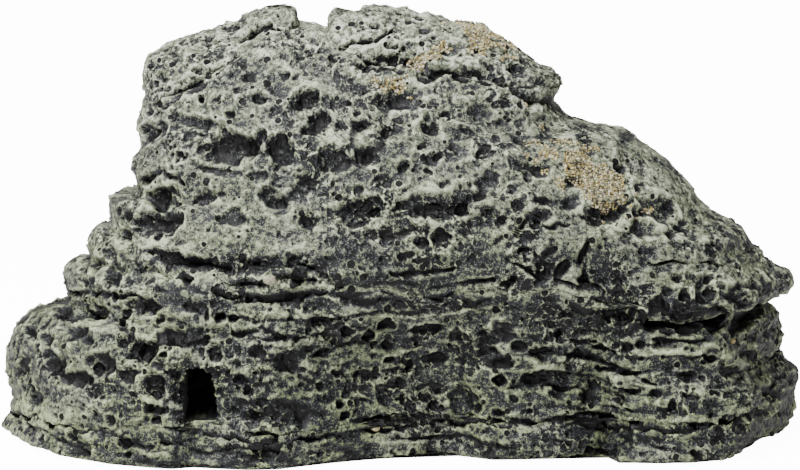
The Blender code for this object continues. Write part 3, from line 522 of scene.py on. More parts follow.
# The rock as a whole, caps and ledges included: height, left, right, front, back
ENVELOPE = (
    (0.2, -121.5, 119.0, -62.0, 60.0), (2.0, -124.5, 122.0, -64.0, 62.0),
    (5.0, -121.8, 124.0, -63.5, 62.5), (9.0, -121.2, 124.4, -63.0, 62.0),
    (12.0, -121.8, 124.0, -62.0, 61.0), (16.0, -122.5, 124.7, -61.0, 60.0),
    (19.0, -123.0, 124.0, -61.0, 60.0), (22.0, -123.2, 120.3, -60.0, 59.0),
    (25.6, -122.8, 117.8, -60.0, 58.5), (30.4, -122.0, 118.8, -59.0, 58.0),
    (34.0, -120.0, 118.2, -58.5, 57.0), (36.8, -117.0, 117.8, -58.0, 56.5),
    (39.0, -115.0, 116.0, -57.5, 56.0), (40.6, -111.0, 114.7, -57.0, 56.0),
    (42.0, -105.2, 113.0, -56.5, 55.5), (44.6, -105.0, 113.0, -56.0, 55.0),
    (45.6, -105.3, 121.0, -56.0, 55.0), (48.0, -105.8, 122.8, -56.0, 54.0),
    (51.0, -105.5, 122.0, -55.0, 53.0), (53.0, -104.6, 118.0, -54.5, 52.5),
    (55.0, -101.0, 115.5, -53.8, 52.0), (56.5, -97.0, 114.0, -53.2, 51.5),
    (58.6, -97.5, 112.5, -52.3, 51.0), (61.0, -98.0, 109.6, -51.0, 50.5),
    (63.5, -96.5, 108.6, -50.3, 50.2), (65.0, -95.0, 108.2, -50.0, 50.0),
    (65.9, -91.0, 107.0, -49.6, 49.6), (67.8, -90.4, 104.0, -49.0, 49.0),
    (70.4, -90.4, 98.5, -48.0, 48.0), (74.5, -90.4, 94.0, -46.6, 46.8),
    (76.4, -88.5, 92.5, -46.0, 46.0), (77.2, -82.0, 92.0, -45.7, 45.8),
    (79.7, -81.3, 91.0, -44.5, 45.0), (83.0, -82.5, 87.5, -43.0, 44.5),
    (86.4, -84.0, 84.0, -41.5, 44.0), (89.6, -81.0, 79.0, -40.5, 43.0),
    (92.5, -80.5, 75.0, -39.5, 42.0), (95.0, -81.3, 71.0, -38.0, 41.0),
    (98.0, -82.0, 57.5, -36.5, 40.0), (100.0, -82.0, 52.0, -35.5, 39.0),
    (104.2, -79.7, 48.6, -32.8, 37.0), (107.0, -80.3, 48.0, -31.0, 36.0),
    (109.2, -80.0, 49.8, -29.5, 34.0), (111.6, -79.6, 50.7, -28.2, 32.0),
    (114.5, -79.6, 48.0, -26.2, 29.5), (116.6, -79.2, 42.2, -24.5, 27.0),
    (119.5, -77.5, 38.2, -22.0, 24.0), (122.4, -72.0, 34.2, -19.5, 20.5),
    (125.4, -62.5, 30.2, -17.0, 17.0), (128.6, -54.5, 25.0, -13.5, 13.0),
    (130.2, -52.5, 15.0, -11.5, 11.0), (133.2, -49.3, -1.0, -8.0, 7.0), (135.0, -42.0, -8.0, -4.5, 3.0),
)
PLINTH_TOP = 12.0
SEAT = 54.0
SEAT_FALL = -0.06
LEVEL_TOP = 90.0
LEDGE_SEAT = 49.3
LEDGE_ROOF = 65.4
LEDGE_END = 76.0
LOBE_TOP = 42.0
LEFT_LEDGE_TOP = 65.6
SHOULDER_TOP = 77.0
SIDE_CUT = -73.0
JOINT = 0.02
BACK_SQUARE = 2.8
BACK_FALL = 0.19

# Seat of the two caps on the boulder: x and height
CAP_SEAT = (
    (-84.0, 102.5), (-80.0, 104.5), (-60.0, 116.0), (-45.0, 124.5), (-36.0, 129.0), (-31.5, 129.6),
    (-27.0, 129.0), (-22.5, 127.4), (-17.0, 122.8), (-8.0, 119.6), (0.0, 118.4), (50.0, 110.8),
    (54.0, 110.2),
)

# Chamber wall, from the underside up to its ceiling
CHAMBER = (
    (0.2, -68.0, 98.0, -48.5, 48.5), (12.0, -68.0, 98.0, -48.0, 48.0), (37.0, -67.0, 86.0, -46.0, 46.0),
    (47.0, -66.5, 66.0, -45.0, 45.0), (64.0, -64.5, 64.0, -41.0, 41.5),
    (77.0, -63.5, 65.0, -37.0, 38.5), (89.0, -62.0, 56.0, -30.5, 33.0),
    (98.0, -50.0, 35.0, -21.0, 25.0), (103.0, -27.0, 12.0, -9.0, 12.0), (104.5, -14.0, 2.0, -3.0, 4.0),
)
WALL = 8.0


def ease(t):
    """A smooth step from 0 to 1."""
    t = np.clip(t, 0.0, 1.0)
    return t * t * (3.0 - 2.0 * t)


def row_at(table, z):
    """The table's left, right, front and back at each height."""
    t = np.array(table, float)
    return [np.interp(z, t[:, 0], t[:, k]) for k in range(1, 5)]


def cap_seat(x):
    """Height of the caps' seat along the width."""
    t = np.array(CAP_SEAT)
    return np.interp(x, t[:, 0], t[:, 1])


def envelope_front(x, z):
    """Front y of the whole rock at x and height z: the foot's wavy edge, easing to a plain oval higher up."""
    left, right, front, _ = row_at(ENVELOPE, z)
    u = np.clip((x - 0.5 * (left + right)) / (0.5 * (right - left)), -1.0, 1.0)
    foot = np.array(FOOT_FRONT)
    wavy = np.interp(u, foot[:, 0], foot[:, 1])
    oval = -np.clip(1.0 - np.abs(u) ** BACK_SQUARE, 0.0, 1.0) ** (1.0 / BACK_SQUARE)
    blend = ease((z - 18.0) / 62.0)
    return -front * (wavy + (oval - wavy) * blend)


def envelope_back(x, z):
    """Back y of the whole rock at x and height z; the top falls away behind by BACK_FALL."""
    y = 0.0
    for _ in range(5):
        left, right, _, back = row_at(ENVELOPE, z + BACK_FALL * y)
        u = np.clip((x - 0.5 * (left + right)) / (0.5 * (right - left)), -1.0, 1.0)
        y = 0.5 * (y + back * np.clip(1.0 - np.abs(u) ** BACK_SQUARE, 0.0, 1.0) ** (1.0 / BACK_SQUARE))
    return y


def ring_places(left, right, z, count, back_share):
    """Places round a ring (0 to 1 from left to right, and -1 front or 1 back), evenly spaced by length."""
    v = 0.5 - 0.5 * np.cos(np.linspace(0.0, np.pi, 700))
    x = left + (right - left) * v
    height = np.full(x.shape, z)
    loop_v = np.concatenate([v, v[::-1][1:]])
    loop_y = np.concatenate([envelope_front(x, height), envelope_back(x, height)[::-1][1:]])
    side = np.concatenate([np.full(700, -1.0), np.full(699, 1.0)])
    step = np.hypot(np.diff(loop_v) * (right - left), 0.7 * np.diff(loop_y))
    share = np.where(side[1:] > 0.0, back_share, 1.0)
    run = np.concatenate([[0.0], np.cumsum(step * share)])
    want = np.linspace(0.0, run[-1], count, endpoint=False)
    turn = run[699]
    return np.interp(want, run, loop_v), np.where(want <= turn, -1.0, 1.0)


def end_of_row(level, side, height_of):
    """Where each row meets the rock's left (side 0) or right (side 1) outline, found by halving the error."""
    x = np.full(level.shape, (-85.0, 85.0)[side])
    for _ in range(24):
        x = 0.5 * (x + row_at(ENVELOPE, height_of(level, x))[side])
    return x


def envelope_grid(level, places, height_of, low=-200.0, high=200.0, size=5.0):
    """Rows of the whole rock's surface, cut short at x = low and x = high and rounded off over size mm."""
    v, side = places
    left = end_of_row(level, 0, height_of)[:, None]
    right = end_of_row(level, 1, height_of)[:, None]
    cut_left, cut_right = np.maximum(left, low), np.minimum(right, high)
    x = cut_left + (cut_right - cut_left) * v[None, :]
    z = height_of(level[:, None], x)
    hold = np.ones_like(x)
    for inward, cut in ((x - cut_left, cut_left - left), (cut_right - x, right - cut_right)):
        reach = np.clip(cut, 0.0, size) + 0.01
        hold = hold * np.sqrt(np.clip(1.0 - np.clip(1.0 - inward / reach, 0.0, 1.0) ** 2, 0.0, 1.0))
    y = np.where(side[None, :] < 0.0, envelope_front(x, z), envelope_back(x, z)) * hold
    return np.stack([x, y, z], -1)


def notched_grid(level, places, height_of, low, notch):
    """Rows like envelope_grid, but those where notch is true stop flat at LEDGE_END, clear of the ledge."""
    v, side = places
    outline = end_of_row(level, 0, height_of)[:, None]
    left = np.maximum(outline, low)
    right = end_of_row(level, 1, height_of)[:, None]
    full = left + (right - left) * v[None, :]
    stop = np.where(notch, LEDGE_END, 200.0)[:, None]
    x = np.minimum(full, stop)
    z = height_of(level[:, None], x)
    inward = np.clip(1.0 - (full - left) / 4.0, 0.0, 1.0) * (left > outline + 0.01)
    hold = np.sqrt(1.0 - inward**2) * np.where(full > stop, (right - full) / (right - stop + 0.01), 1.0)
    y = np.where(side[None, :] < 0.0, envelope_front(x, z), envelope_back(x, z)) * hold
    return np.stack([x, y, z], -1)


def with_lip(outer):
    """The rows with one more below, 3 mm inside and 1 mm lower, that hides the joint from outside."""
    lip = outer[0] - 3.0 * grid_normals(outer, 3)[0]
    lip[:, 2] = outer[0][:, 2] - 1.0
    return np.concatenate([lip[None], outer])


def uneven(x, phase):
    """The wander in mm of a joint line along the width."""
    long_wave = 1.6 * np.sin(x / 11.3 + phase)
    return long_wave + 0.8 * np.sin(x / 4.3 + 2.3 * phase) + 0.45 * np.sin(x / 1.7 + phase)


def foot_rows(level, x):
    """Rows level at the ground and uneven at the plinth joint."""
    return level + uneven(x, 1.0) * np.clip(level / PLINTH_TOP, 0.0, 1.0) ** 2


def side_rows(low, high):
    """Rows between two uneven joints; the phases are the same for the piece on the other side."""
    def rows(level, x):
        share = np.clip((level - low) / (high - low), 0.0, 1.0)
        return level + uneven(x, 0.08 * low) * (1.0 - share) ** 2 + uneven(x, 0.08 * high) * share**2
    return rows


def shell_rows(level, x):
    """Rows level at the plinth, tilting to the sloping seat."""
    share = np.clip((level - PLINTH_TOP) / (SEAT - PLINTH_TOP), 0.0, 1.0)
    wander = uneven(x, 1.0) * (1.0 - share) ** 4 + uneven(x, 4.0) * share**4
    return level + SEAT_FALL * x * share + wander


def boulder_rows(level, x):
    """Rows tilted at the seat, level at LEVEL_TOP, then rising to the caps' seat 20 rows' worth above it."""
    low = (LEVEL_TOP - level) / (LEVEL_TOP - SEAT)
    tilted = level + SEAT_FALL * x * ease(low) + uneven(x, 4.0) * np.clip(low, 0.0, 1.0) ** 6
    tilted = tilted + uneven(x, 2.6) * np.exp(-(((level - LEDGE_ROOF) / 5.0) ** 2))
    share = np.clip((level - LEVEL_TOP) / 20.0, 0.0, 1.0)
    return np.where(level > LEVEL_TOP, LEVEL_TOP + share * (cap_seat(x) - LEVEL_TOP), tilted)


def chamber_grid(heights, places):
    """Rings of the chamber wall at these heights, kept a wall's thickness behind the outer front."""
    v, side = places
    z = heights[:, None] + 0.0 * v[None, :]
    left, right, front, back = row_at(CHAMBER, z)
    x = left + (right - left) * v[None, :]
    u = 2.0 * v[None, :] - 1.0
    oval = np.clip(1.0 - np.abs(u) ** 3.0, 0.0, 1.0) ** (1.0 / 3.0)
    y = np.where(side[None, :] < 0.0, front * oval, back * oval)
    held = np.maximum(y, envelope_front(x, z) + WALL)
    return np.stack([x, np.where(side[None, :] < 0.0, np.minimum(held, 0.0), y), z], -1)


def make_plinth():
    """The foot ring: outer face up, joint face inward, chamber wall down, underside back out."""
    count, up = 900, 30
    places = ring_places(-124.0, 124.0, 3.0, count, 0.35)
    outer = envelope_grid(np.linspace(0.2, PLINTH_TOP, up), places, foot_rows)
    inner = chamber_grid(np.linspace(PLINTH_TOP, 0.2, 6), ring_places(-68.0, 98.0, 3.0, count, 0.5))
    worked = np.concatenate([ease((np.arange(up) + 0.5) / 4.0), np.zeros(6)])
    return casting("base_plinth_rock", np.concatenate([outer, inner]), worked, (0.42, 0.75), False, True)


def make_shell():
    """The strata wall: outer face up to the sloping seat, then the chamber wall down."""
    count, up, down = 900, 92, 12
    level = np.linspace(PLINTH_TOP + JOINT, SEAT, up)
    places = ring_places(-83.0, 118.0, 34.0, count, 0.35)
    outer = with_lip(notched_grid(level, places, shell_rows, -83.0, level > LEDGE_SEAT))
    heights = np.linspace(SEAT, PLINTH_TOP + JOINT, down)
    inner = chamber_grid(heights, ring_places(-68.0, 86.0, 34.0, count, 0.5))
    inner[..., 2] = shell_rows(inner[..., 2], inner[..., 0])
    worked = np.concatenate([[0.0], np.ones(up), np.zeros(down)])
    return casting("lower_shell_rock", np.concatenate([outer, inner]), worked, (0.46, 0.62), False, True)


def make_boulder():
    """The pitted boulder: chamber ceiling and wall down to the joint, the outer face up, the caps' seat."""
    count, up, down = 760, 112, 12
    lower = np.linspace(SEAT + JOINT, LEVEL_TOP, 66)
    level = np.concatenate([lower, np.linspace(LEVEL_TOP, LEVEL_TOP + 20.0, up - 65)[1:]])
    places = ring_places(-84.0, 98.0, 72.0, count, 0.35)
    outer = with_lip(notched_grid(level, places, boulder_rows, -83.5, level < LEDGE_ROOF))
    closing = []
    for share in (0.93, 0.6, 0.25):
        ring = outer[-1] * np.array([share, share, 1.0]) + np.array([-15.0 * (1.0 - share), 0.0, 0.0])
        ring[:, 2] = cap_seat(ring[:, 0]) - 0.2
        closing.append(ring[None])
    inner_rows = np.array(CHAMBER)
    joint = [SEAT + JOINT, *[float(v) for v in row_at(CHAMBER, SEAT + JOINT)]]
    inner_rows = np.concatenate([[joint], inner_rows[inner_rows[:, 0] > SEAT]])
    inner = chamber_grid(spread_rows(inner_rows, down)[::-1, 0], ring_places(-64.0, 64.0, 64.0, count, 0.5))
    inner[..., 2] = boulder_rows(np.minimum(inner[..., 2], LEVEL_TOP), inner[..., 0]) + np.maximum(
        inner[..., 2] - LEVEL_TOP, 0.0)
    base = np.concatenate([inner, outer] + closing)
    worked = np.concatenate([np.zeros(down + 1), np.ones(len(level)), [0.5, 0.0, 0.0]])
    return casting("upper_boulder_rock", base, worked, (0.72, 0.6), True, False)


def right_ledge_rows(level, x):
    """Rows between the shell's top below the ledge (level 0) and the boulder's underside (level 1)."""
    return shell_rows(LEDGE_SEAT, x) * (1.0 - level) + boulder_rows(LEDGE_ROOF, x) * level


def make_right_ledge():
    """The overhanging ledge at the right end."""
    up = 56
    places = ring_places(69.0, 112.0, 52.0, 540, 0.5)
    base = with_lip(envelope_grid(np.linspace(0.001, 1.0, up), places, right_ledge_rows, LEDGE_END - 5.2))
    return casting("right_ledge_rock", base, np.concatenate([[0.0], np.ones(up)]), (0.4, 0.4), True, False)


def make_side(name, low, high, count, up):
    """A lobe or ledge at the left end: the rock's surface between two heights, cut short at SIDE_CUT."""
    level = np.linspace(low, high, up)
    places = ring_places(-104.0, SIDE_CUT, 0.5 * (low + high), count, 0.6)
    base = with_lip(envelope_grid(level, places, side_rows(low, high), high=SIDE_CUT))
    return casting(name, base, np.concatenate([[0.0], np.ones(up)]), (0.4, 0.4), True, False)


# Crest lines of the caps: x and height
LEFT_CREST = (
    (-79.6, 114.5), (-79.0, 117.0), (-77.5, 119.5), (-72.0, 122.4), (-62.5, 125.6), (-54.5, 128.6),
    (-52.5, 130.2), (-49.3, 133.2), (-42.0, 135.0), (-36.0, 135.0), (-33.0, 133.6), (-31.5, 131.0),
)
RIGHT_CREST = (
    (-23.0, 129.0), (-22.4, 130.8), (-21.4, 133.0), (-15.0, 134.2), (-9.0, 135.0), (-1.0, 133.2),
    (5.7, 131.8), (15.0, 130.4), (23.0, 129.8), (25.0, 128.6), (30.2, 125.4), (34.2, 122.4),
    (38.2, 119.5), (42.2, 116.6), (48.0, 114.5), (50.4, 111.9),
)


def make_cap(name, crest, count, ends):
    """A summit cap: rows that rise from the seat to the crest line, on the whole rock's surface."""
    up = 90
    table = np.array(crest)
    low, high = table[0, 0], table[-1, 0]
    rise = 1.0 - (1.0 - np.linspace(0.0, 1.0, up)[:, None]) ** 1.7
    v, side = ring_places(low, high, 112.0, count, 0.5)
    x = low + (high - low) * v[None, :] + 0.0 * rise
    seat = cap_seat(x)
    z = seat + rise * (np.interp(x, table[:, 0], table[:, 1]) - seat)
    y = np.where(side[None, :] < 0.0, envelope_front(x, z), envelope_back(x, z))
    for size, inward in ((ends[0], x - low), (ends[1], high - x)):
        if size:
            y = y * np.sqrt(1.0 - np.clip(1.0 - inward / size, 0.0, 1.0) ** 2)
    return casting(name, np.stack([x, y, z], -1), np.ones(up), (0.35, 0.45), True, False)


# ---------------------------------------------------------------- paint


def srgb(code):
    """A hex colour as linear red, green, blue and alpha."""
    parts = np.array([int(code[i : i + 2], 16) for i in (1, 3, 5)]) / 255.0
    linear = np.where(parts <= 0.04045, parts / 12.92, ((parts + 0.055) / 1.055) ** 2.4)
    return (*[float(v) for v in linear], 1.0)


def add(tree, kind, settings=None, **inputs):
    """Adds a shader node. settings are its own properties; inputs are values or (node, output) links.

    An input is named by its socket, with _ for a space, or as i and the socket's number.
    """
    node = tree.nodes.new(kind)
    for key, value in (settings or {}).items():
        setattr(node, key, value)
    for key, value in inputs.items():
        numbered = key[0] == "i" and key[1:].isdigit()
        socket = node.inputs[int(key[1:]) if numbered else key.replace("_", " ")]
        if isinstance(value, tuple) and len(value) == 2 and hasattr(value[0], "outputs"):
            tree.links.new(value[0].outputs[value[1]], socket)
        else:
            socket.default_value = value
    return node


def blank(name):
    """A material with only an output, and the tree to build it in."""
    material = bpy.data.materials.new(name)
    material.use_nodes = True
    tree = material.node_tree
    tree.nodes.clear()
    return material, tree


def calc(tree, operation, a, b=0.0, c=0.0):
    """One step of arithmetic on values or links."""
    return (add(tree, "ShaderNodeMath", {"operation": operation}, i0=a, i1=b, i2=c), 0)


def band(tree, value, low, high):
    """0 below low, 1 above high, eased between."""
    settings = {"interpolation_type": "SMOOTHSTEP"}
    return (add(tree, "ShaderNodeMapRange", settings, i0=value, i1=low, i2=high, i3=0.0, i4=1.0), 0)


def blend_colour(tree, share, a, b):
    """Colour a where share is 0, and b where it is 1."""
    return (add(tree, "ShaderNodeMix", {"data_type": "RGBA"}, i0=share, i6=a, i7=b), 2)


def attribute(tree, name):
    """A value kept at the piece's own points."""
    return (add(tree, "ShaderNodeAttribute", {"attribute_name": name}), "Fac")


def cloud(tree, place, scale, detail, rough=0.5):
    """Fractal noise of about 0.3 to 0.7. scale is in waves per metre."""
    settings = {"Vector": place, "Scale": scale, "Detail": detail, "Roughness": rough}
    return (add(tree, "ShaderNodeTexNoise", None, **settings), "Fac")


def weighed(tree, start, terms):
    """start plus weight times value, for each (value, weight)."""
    total = start
    for value, weight in terms:
        total = calc(tree, "MULTIPLY_ADD", value, weight, total)
    return total


def pinholes(tree, place, scale, share, size):
    """Round holes in a share of the cells of a Voronoi lattice, and the thin lip round each."""
    cells = add(tree, "ShaderNodeTexVoronoi", None, Vector=place, Scale=scale, Randomness=1.0)
    pick = (add(tree, "ShaderNodeSeparateColor", None, Color=(cells, "Color")), "Red")
    reach = calc(tree, "MULTIPLY", calc(tree, "SUBTRACT", pick, 1.0 - share), size)
    inner = calc(tree, "SUBTRACT", reach, (cells, "Distance"))
    hole = band(tree, inner, 0.0, 0.05)
    lip = calc(tree, "MULTIPLY", band(tree, inner, -0.10, -0.02), band(tree, inner, 0.03, 0.0))
    return hole, calc(tree, "MULTIPLY", lip, band(tree, reach, 0.04, 0.10))


def cell_walls(tree, place, scale, share):
    """Cells left hollow by froth at the mould face, a share of all, and the thin walls round them."""
    drift = (add(tree, "ShaderNodeTexNoise", None, Vector=place, Scale=170.0, Detail=3.0), "Color")
    move = {"operation": "MULTIPLY_ADD"}
    bent = (add(tree, "ShaderNodeVectorMath", move, i0=drift, i1=(0.006, 0.006, 0.006), i2=place), "Vector")
    to_edge = {"feature": "DISTANCE_TO_EDGE"}
    edge = (add(tree, "ShaderNodeTexVoronoi", to_edge, Vector=bent, Scale=scale), "Distance")
    cells = add(tree, "ShaderNodeTexVoronoi", None, Vector=bent, Scale=scale)
    pick = (add(tree, "ShaderNodeSeparateColor", None, Color=(cells, "Color")), "Green")
    hollow = band(tree, pick, 1.0 - share, 1.02 - share)
    inside = calc(tree, "MULTIPLY", band(tree, edge, 0.07, 0.17), hollow)
    return inside, calc(tree, "MULTIPLY", band(tree, edge, 0.10, 0.03), hollow)


def froth_marks(tree, place, grit):
    """Froth at two sizes, in patches: hollow insides and worn walls, coarse then fine."""
    froth = band(tree, cloud(tree, place, 55.0, 4.0), 0.45, 0.56)
    worn = band(tree, grit, 0.40, 0.58)
    cup, wall = cell_walls(tree, place, 235.0, 0.44)
    dent, web = cell_walls(tree, place, 430.0, 0.36)
    left_over = calc(tree, "MULTIPLY_ADD", froth, 0.7, 0.3)
    wall = calc(tree, "MULTIPLY", calc(tree, "MULTIPLY", wall, worn), left_over)
    web = calc(tree, "MULTIPLY", calc(tree, "MULTIPLY", web, worn), froth)
    return calc(tree, "MULTIPLY", cup, froth), wall, calc(tree, "MULTIPLY", dent, froth), web


def painted_resin(name, lift=0.0):
    """Cast polyester resin, painted in three coats.

    A satin charcoal base coat is left in every hollow, with a blue-grey mid coat over it; the deepest hollows
    go near-black, partly that coat and partly painted shade. Matt sage is dry-brushed last, so that it catches
    only the rims and high points, greyer towards the summit; more sage and paler crests higher up are partly
    the brushing and partly painted light from above. Light flecks in the blue-grey coat are partly real
    speckle and partly painted glints. Fine air bubbles at the mould face leave pinholes that the brush misses;
    their near-black is partly painted shade. lift is how much more sage a piece has, partly painted light on
    the summit.
    """
    material, tree = blank(name)
    place = (add(tree, "ShaderNodeTexCoord"), "Object")
    flat = (add(tree, "ShaderNodeMapping", None, Vector=place, Scale=(0.34, 0.34, 1.7)), "Vector")
    tall = attribute(tree, "tall")
    patch = cloud(tree, place, 150.0, 6.0, 0.66)
    grit = cloud(tree, place, 780.0, 4.0, 0.68)
    speck = cloud(tree, place, 2300.0, 2.0, 0.6)
    streak = calc(tree, "SUBTRACT", cloud(tree, flat, 420.0, 4.0, 0.6), 0.5)
    hole, rim = pinholes(tree, place, 560.0, 0.42, 0.50)
    well, lip = pinholes(tree, place, 270.0, 0.62, 0.62)
    cup, wall, dent, web = froth_marks(tree, place, grit)
    reach = weighed(tree, -0.64 + lift - 0.5 * (3.2 + 5.0 + 4.4), (
        # Lower in hollows through fine, broad, cup and dent, so the paint runs dark there: partly the base
        # coat left unbrushed, partly painted shade
        (calc(tree, "MINIMUM", attribute(tree, "fine"), 0.42), PAINT_FINE),
        (attribute(tree, "broad"), PAINT_BROAD),
        # Zone value: partly the coats' spread, partly painted light and painted shade
        (attribute(tree, "shade"), 2.1), (tall, 1.10), (patch, 3.2), (grit, 5.0), (speck, 4.4),
        (calc(tree, "MULTIPLY", streak, calc(tree, "SUBTRACT", 1.0, tall)), 3.2),
        (cup, -1.2), (dent, -0.8), (wall, 1.7), (web, 1.1), (rim, 0.7), (lip, 0.8),
    ))
    # Light flecks in the blue-grey coat: partly real speckle, partly painted glints
    slate = blend_colour(tree, band(tree, speck, 0.50, 0.72), srgb("#27282c"), srgb("#66696d"))
    # Near-black at the bottom of the range in the deepest hollows: partly the charcoal base coat, partly
    # painted shade
    base = blend_colour(tree, band(tree, reach, -1.7, 0.1), srgb("#08080a"), slate)
    sage = blend_colour(tree, tall, srgb("#727b59"), srgb("#8c917c"))
    sage = blend_colour(tree, band(tree, cloud(tree, place, 70.0, 3.0), 0.42, 0.66), sage, srgb("#848779"))
    sage = blend_colour(tree, band(tree, grit, 0.62, 0.38), sage, srgb("#5d6450"))
    # Paler crests and, through tall in reach, more sage higher up: partly the brushing, partly painted light
    # from above
    light = blend_colour(tree, tall, srgb("#b0b88f"), srgb("#cdd1be"))
    brushed = band(tree, reach, -0.30, 0.62)
    colour = blend_colour(tree, brushed, base, sage)
    colour = blend_colour(tree, band(tree, reach, 0.85, 2.7), colour, light)
    # Pinholes and wells painted near-black: partly the unbrushed base coat, partly painted shade in holes that
    # are only bumps
    pit = calc(tree, "MAXIMUM", hole, well)
    colour = blend_colour(tree, pit, colour, srgb("#09090a"))
    relief = weighed(tree, 0.0, (
        (grit, 0.00050), (speck, 0.00012), (patch, 0.0006), (pit, -0.00040), (cup, -0.0005), (dent, -0.0003),
    ))
    bump = (add(tree, "ShaderNodeBump", None, Strength=0.9, Distance=1.0, Height=relief), "Normal")
    rough = calc(tree, "MULTIPLY_ADD", brushed, 0.30, 0.34)
    shader = add(tree, "ShaderNodeBsdfPrincipled", None, Base_Color=colour, Roughness=rough, IOR=1.52,
                 Specular_IOR_Level=0.22, Normal=bump)
    add(tree, "ShaderNodeOutputMaterial", None, Surface=(shader, "BSDF"))
    return material


def sorted_grit(name, shift):
    """Washed quartz sand and fine gravel: cream, tan, rust, grey and brown grains, dull, each one colour."""
    material, tree = blank(name)
    place = (add(tree, "ShaderNodeTexCoord"), "Object")
    tone = calc(tree, "ADD", attribute(tree, "tone"), shift)
    ramp = add(tree, "ShaderNodeValToRGB", None, Fac=tone)
    ramp.color_ramp.interpolation = "CONSTANT"
    stops = (
        (0.0, "#dbd09a"), (0.26, "#b3a158"), (0.46, "#a9a78f"),
        (0.60, "#8f7c42"), (0.74, "#4a4130"), (0.86, "#f2ead0"),
    )
    for k, (where, code) in enumerate(stops):
        stop = ramp.color_ramp.elements[k] if k < 2 else ramp.color_ramp.elements.new(where)
        stop.position = where
        stop.color = srgb(code)
    stain = cloud(tree, place, 1500.0, 3.0)
    colour = blend_colour(tree, band(tree, stain, 0.35, 0.75), (ramp, "Color"), srgb("#6d6455"))
    bump = (add(tree, "ShaderNodeBump", None, Strength=0.5, Distance=1.0,
                Height=calc(tree, "MULTIPLY", stain, 0.0002)), "Normal")
    shader = add(tree, "ShaderNodeBsdfPrincipled", None, Base_Color=colour, Roughness=0.5, IOR=1.54,
                 Normal=bump)
    add(tree, "ShaderNodeOutputMaterial", None, Surface=(shader, "BSDF"))
    return material


# ---------------------------------------------------------------- gravel and pebbles

# Beds of grains: node, surface, x, s, half-length, half-breadth, turn in degrees, grain radius
BEDS = (
    ("summit_gravel", "right_cap_rock", 25.0, 123.0, 7.4, 4.4, -30.0, 0.38),
    ("middle_gravel", "right_cap_rock", 14.0, 118.4, 4.6, 1.7, 24.0, 0.46),
    ("rust_gravel", "right_cap_rock", 5.8, 114.2, 4.0, 2.0, 0.0, 0.42),
    ("crevice_gravel", "upper_boulder_rock", -1.5, 107.6, 6.4, 2.2, -10.0, 0.52),
    ("slope_gravel", "upper_boulder_rock", 56.5, 80.5, 16.5, 5.6, -38.0, 0.42),
)
# Single stones: node, x, s, radius
STONES = (
    ("crevice_pebble", 9.6, 106.4, 1.45), ("cap_edge_pebble", 37.8, 101.6, 1.35),
    ("hollow_pebble", -40.2, 47.8, 1.75), ("ledge_pebble", 102.0, 28.6, 1.15),
    ("base_pebble", -7.5, 2.2, 1.25),
)


def spin(count, draw):
    """Random rotations, one 3 by 3 matrix each, from unit quaternions."""
    q = draw.normal(size=(count, 4))
    w, x, y, z = (q / np.linalg.norm(q, axis=1, keepdims=True)).T
    rows = [
        [1 - 2 * (y * y + z * z), 2 * (x * y - z * w), 2 * (x * z + y * w)],
        [2 * (x * y + z * w), 1 - 2 * (x * x + z * z), 2 * (y * z - x * w)],
        [2 * (x * z - y * w), 2 * (y * z + x * w), 1 - 2 * (x * x + y * y)],
    ]
    return np.array(rows).transpose(2, 0, 1)


def seats_in_bed(surface, x, s, length, breadth, turn, gap, draw):
    """Points and directions on a rock surface inside a ragged oval, no closer than about one gap."""
    p, n = SURFACES[surface]
    p, n = p.reshape(-1, 3), n.reshape(-1, 3)
    height = p[:, 2] * np.cos(DIP) + p[:, 1] * np.sin(DIP)
    dx, dy = turned(p[:, 0] - x, height - s, turn)
    ragged = 1.0 + 0.9 * noise(p, 2.6, SEED + 80)
    keep = (np.hypot(dx / length, dy / breadth) < ragged) & (n[:, 1] < 0.3) & (p[:, 1] < 8.0)
    p, n = p[keep], n[keep]
    order = draw.permutation(len(p))
    p, n = p[order], n[order]
    cell = np.floor(p / gap).astype(int)
    _, first = np.unique(cell, axis=0, return_index=True)
    return p[first], n[first]


def gravel_bed(node, surface, x, s, length, breadth, turn, radius, seed):
    """Angular grains, each a dented twelve-cornered ball, turned at random and half sunk in glue."""
    draw = np.random.default_rng(seed)
    p, n = seats_in_bed(surface, x, s, length, breadth, turn, 1.55 * radius, draw)
    g = (1.0 + 5.0**0.5) / 2.0
    corners = [
        (-1, g, 0), (1, g, 0), (-1, -g, 0), (1, -g, 0), (0, -1, g), (0, 1, g),
        (0, -1, -g), (0, 1, -g), (g, 0, -1), (g, 0, 1), (-g, 0, -1), (-g, 0, 1),
    ]
    ball = np.array(corners) / np.hypot(1, g)
    faces = np.array([
        (0, 11, 5), (0, 5, 1), (0, 1, 7), (0, 7, 10), (0, 10, 11), (1, 5, 9), (5, 11, 4),
        (11, 10, 2), (10, 7, 6), (7, 1, 8), (3, 9, 4), (3, 4, 2), (3, 2, 6), (3, 6, 8),
        (3, 8, 9), (4, 9, 5), (2, 4, 11), (6, 2, 10), (8, 6, 7), (9, 8, 1),
    ])
    count = len(p)
    size = radius * draw.uniform(0.62, 1.25, (count, 1, 1)) * draw.uniform(0.72, 1.2, (count, 1, 3))
    grain = ball[None] * size * draw.uniform(0.85, 1.12, (count, 12, 1))
    grain = np.einsum("nij,nkj->nki", spin(count, draw), grain)
    points = (p + n * 0.25 * radius)[:, None, :] + grain
    tris = (faces[None] + 12 * np.arange(count)[:, None, None]).reshape(-1, 3)
    tone = np.repeat(draw.uniform(0.0, 1.0, count), 12)
    obj = make_mesh(node + "_grains", points.reshape(-1, 3), np.zeros((0, 4), int), tris, {"tone": tone})
    obj.data.polygons.foreach_set("use_smooth", np.zeros(len(tris), bool))
    return obj


